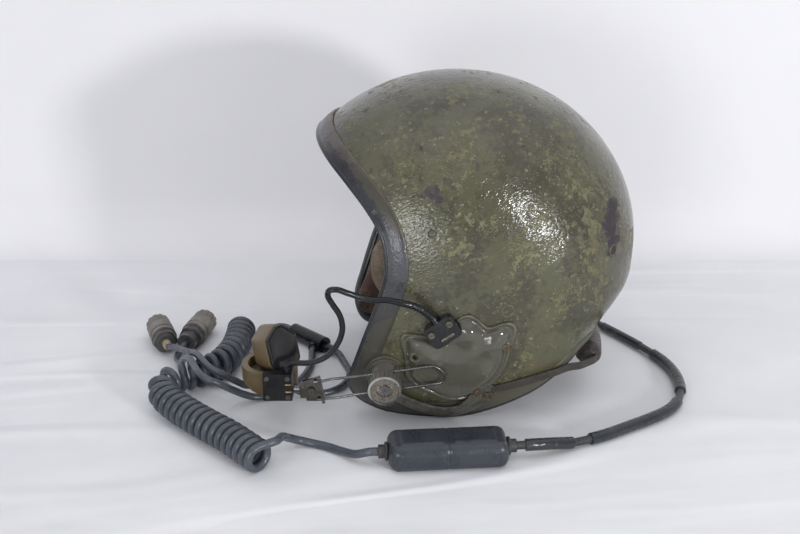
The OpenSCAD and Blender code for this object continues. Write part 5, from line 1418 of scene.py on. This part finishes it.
# microphone: a long gabled housing with softened facets, and its black face let in at the front
# both are given as depth and inset, from the front to the back
micForm = {"place": (-171, -103, 71.6), "lean": 70, "turn": 38, "corner": 2.2,
           "outline": [(-9.5, -20), (9.5, -20), (14.9, -14), (15.2, 9.5), (3.2, 19.9), (-3.2, 19.9),
               (-15.2, 9.5), (-14.9, -14)],
           "housing": [(-3, 1.6), (-4.3, 0.9), (-5.1, 0.25), (-6, 0), (-15.2, 0), (-29.2, 0.3), (-31.2, 1.2),
               (-32.2, 3.2)],
           "face": [(-1.4, 9.5), (-1.5, 6), (-1.3, 3), (-0.5, 2.4), (-0.1, 2), (0, 1.5), (-0.5, 0.9),
                    (-2, 0.7), (-4.6, 0.75), (-6, 1.3)]}


def micPoint(x, y, z):
    y, z = rotated(y, z, math.radians(micForm["lean"]))
    x, y = rotated(x, y, math.radians(micForm["turn"]))
    return np.array(micForm["place"]) + (x, y, z)


def roundedOutline(points, radius):
    out, points = [], np.array(points, float)
    for p, a, b in zip(points, np.roll(points, 1, 0), np.roll(points, -1, 0)):
        p0, p1 = p + unitOf(a - p) * radius, p + unitOf(b - p) * radius
        out += [(1 - t) ** 2 * p0 + 2 * t * (1 - t) * p + t * t * p1 for t in np.linspace(0, 1, 5)]
    return np.array(out)


def makeMicShell(part, look):
    ring = roundedOutline(micForm["outline"], micForm["corner"])
    reach = np.linalg.norm(ring, axis=1, keepdims=True)
    rings = [[micPoint(x, y, z) for x, y in ring * (1 - inset / reach)] for z, inset in micForm[part]]
    addPiece("mic" + part.capitalize(), np.vstack(rings), tubeFaces(len(rings), len(ring)), [finish[look]],
             sharp=32, body="mic", slot="brown_plastic", replaces=("mic_" + part,))


makeMicShell("housing", "micBrown")
makeMicShell("face", "micBlack")

# small fittings the solids leave out: a bar across the connector, a band on a plug's cable, pins in the
# microphone's block
extras = {"bar": {"size": (13.4, 2.6), "centre": (1, -5.75), "levels": ((0.55, 0), (0.8, 0), (0.95, 0.25)),
    "sides": 24},
          "band": {"radii": [3.5, 4.3, 4.5, 4.5], "sides": 24},
          "pins": {"places": ((-168.5, 47.5), (-168.5, 40.5)), "y": -128.2, "steps": (0, 1.6, 3.4, 5.2),
                   "radii": [0.7, 0.75, 0.75, 0.5]}}
bar, barPoints = extras["bar"], []
for level, inset in bar["levels"]:
    w, h = bar["size"][0] / 2 - inset, bar["size"][1] / 2 - inset
    for a in turns(bar["sides"]):
        u, v = math.copysign(w - h, math.cos(a)) + h * math.cos(a), h * math.sin(a)
        barPoints.append(onConnector(bar["centre"][0] + u, bar["centre"][1] + v, -level))
addPiece("connectorBar", barPoints, tubeFaces(len(bar["levels"]), bar["sides"]), [finish["screwSteel"]],
    sharp=40, slot="steel")
addTube("creamBand", spreadOn(smoothLine(plugRouteA)[-5:], 4), extras["band"]["radii"], finish["creamBand"],
        sides=extras["band"]["sides"], slot="brown_plastic")
for k, (x, z) in enumerate(extras["pins"]["places"]):
    addTube(f"blockPin{k}", [(x + step, extras["pins"]["y"], z) for step in extras["pins"]["steps"]],
            extras["pins"]["radii"], finish["pinBrass"], sides=12, body="mic", slot="steel")
print("fittings added")


# floor, far wall and soft studio light
studio = {"floor": (0.74, 0.745, 0.76), "floorFold": (0.79, 0.795, 0.81), "floorDrift": 3, "floorRough": 0.85,
          "folds": {"stretch": (0.5, 1.6, 1), "scale": 3.2, "creases": 2.1, "crease": 0.12, "depth": 0.02,
              "strength": 0.5},
          "wall": (0.775, 0.77, 0.785), "wallShade": (0.8, 0.795, 0.81), "wallDrift": 1.5, "wallRough": 0.9,
          "reach": 4000, "wallAt": 330, "wallBend": 60, "wallHeight": 2500,
          "aim": (0, -0.03, 0.12), "air": (0.9, 0.92, 1, 1), "airStrength": 0.5,
          "backdrop": (0.42, 0.42, 0.45, 1),
          # place, size and power
          "lamps": {"key": ((0.95, -1.35, 0.4), 0.16, 12.6), "low": ((-0.5, -1.52, 0.26), 0.4, 5.2),
                    "fill": ((-1.15, -1.1, 0.75), 1.2, 2.7), "top": ((0.05, -0.1, 1.7), 2.8, 15.5)}}


def makeFloorCloth():
    material, tree, shader = newFinish("floorCloth")
    drift = useGroup(tree, colourDrift, First=studio["floor"], Second=studio["floorFold"],
        Scale=studio["floorDrift"])
    look = studio["folds"]
    lay = stretched(tree, objectPlace(tree), look["stretch"])
    folds = fieldNoise(tree, look["scale"], 3, 0.45, lay, 0.8)
    ridge = calculate(tree, "ABSOLUTE", evenNoise(tree, look["creases"], 2, 0.5, lay, 1.2))
    folds = minus(tree, folds, times(tree, stepMask(tree, ridge, 0, 0.05), look["crease"]))
    coat(tree, shader, drift["Color"], studio["floorRough"],
        addBump(tree, folds, look["depth"], look["strength"]))
    return material


def makeWallPaint():
    # the wall can be looked through from behind
    material, tree, shader = newFinish("wallPaint")
    drift = useGroup(tree, colourDrift, First=studio["wall"], Second=studio["wallShade"],
        Scale=studio["wallDrift"])
    coat(tree, shader, drift["Color"], studio["wallRough"])
    clear, choose = addNode(tree, "BsdfTransparent"), addNode(tree, "MixShader")
    tree.links.new(addNode(tree, "NewGeometry").outputs["Backfacing"], choose.inputs["Fac"])
    tree.links.new(shader.outputs[0], choose.inputs[1])
    tree.links.new(clear.outputs[0], choose.inputs[2])
    tree.links.new(choose.outputs[0], tree.nodes["Material Output"].inputs["Surface"])
    return material


far, bend = studio["reach"], studio["wallBend"]
floor = addPiece("floor", [(-far, -far, 0), (far, -far, 0), (far, far, 0), (-far, far, 0)], [(0, 1, 2, 3)],
                 [makeFloorCloth()], body=None)
wallLine = [(studio["wallAt"] - bend * (1 - math.sin(a)), bend * (1 - math.cos(a)))
    for a in np.linspace(0, math.pi / 2, 9)]
wallLine.append((studio["wallAt"], studio["wallHeight"]))
wall = addPiece("wall", [(x, y, z + 0.2) for y, z in wallLine for x in (-far, far)],
                gridFaces(len(wallLine), 2, loopCols=False), [makeWallPaint()], body=None)
if wall.data.polygons[-1].normal.y > 0:
    wall.data.flip_normals()
if floor.data.polygons[0].normal.z < 0:
    floor.data.flip_normals()

for name, (place, size, power) in studio["lamps"].items():
    lamp = bpy.data.lights.new(name + "Lamp", "AREA")
    lamp.shape, lamp.size, lamp.energy = "SQUARE", size, power
    holder = bpy.data.objects.new(name + "Lamp", lamp)
    holder.location = place
    holder.rotation_euler = (Vector(studio["aim"]) - Vector(place)).to_track_quat("-Z", "Y").to_euler()
    scene.collection.objects.link(holder)

world = bpy.data.worlds.new("studioAir")
scene.world = world
world.use_nodes = True
tree = world.node_tree
background = tree.nodes["Background"]
path = addNode(tree, "LightPath").outputs
seen = larger(tree, path["Is Camera Ray"], larger(tree, path["Is Glossy Ray"], path["Is Transmission Ray"]))
light = addNode(tree, "Background", in_Strength=studio["airStrength"], in_Color=studio["air"])
background.inputs["Color"].default_value = studio["backdrop"]
background.inputs["Strength"].default_value = 1
pick = addNode(tree, "MixShader")
tree.links.new(seen, pick.inputs["Fac"])
tree.links.new(light.outputs[0], pick.inputs[1])
tree.links.new(background.outputs[0], pick.inputs[2])
tree.links.new(pick.outputs[0], tree.nodes["World Output"].inputs["Surface"])
print("studio ready")
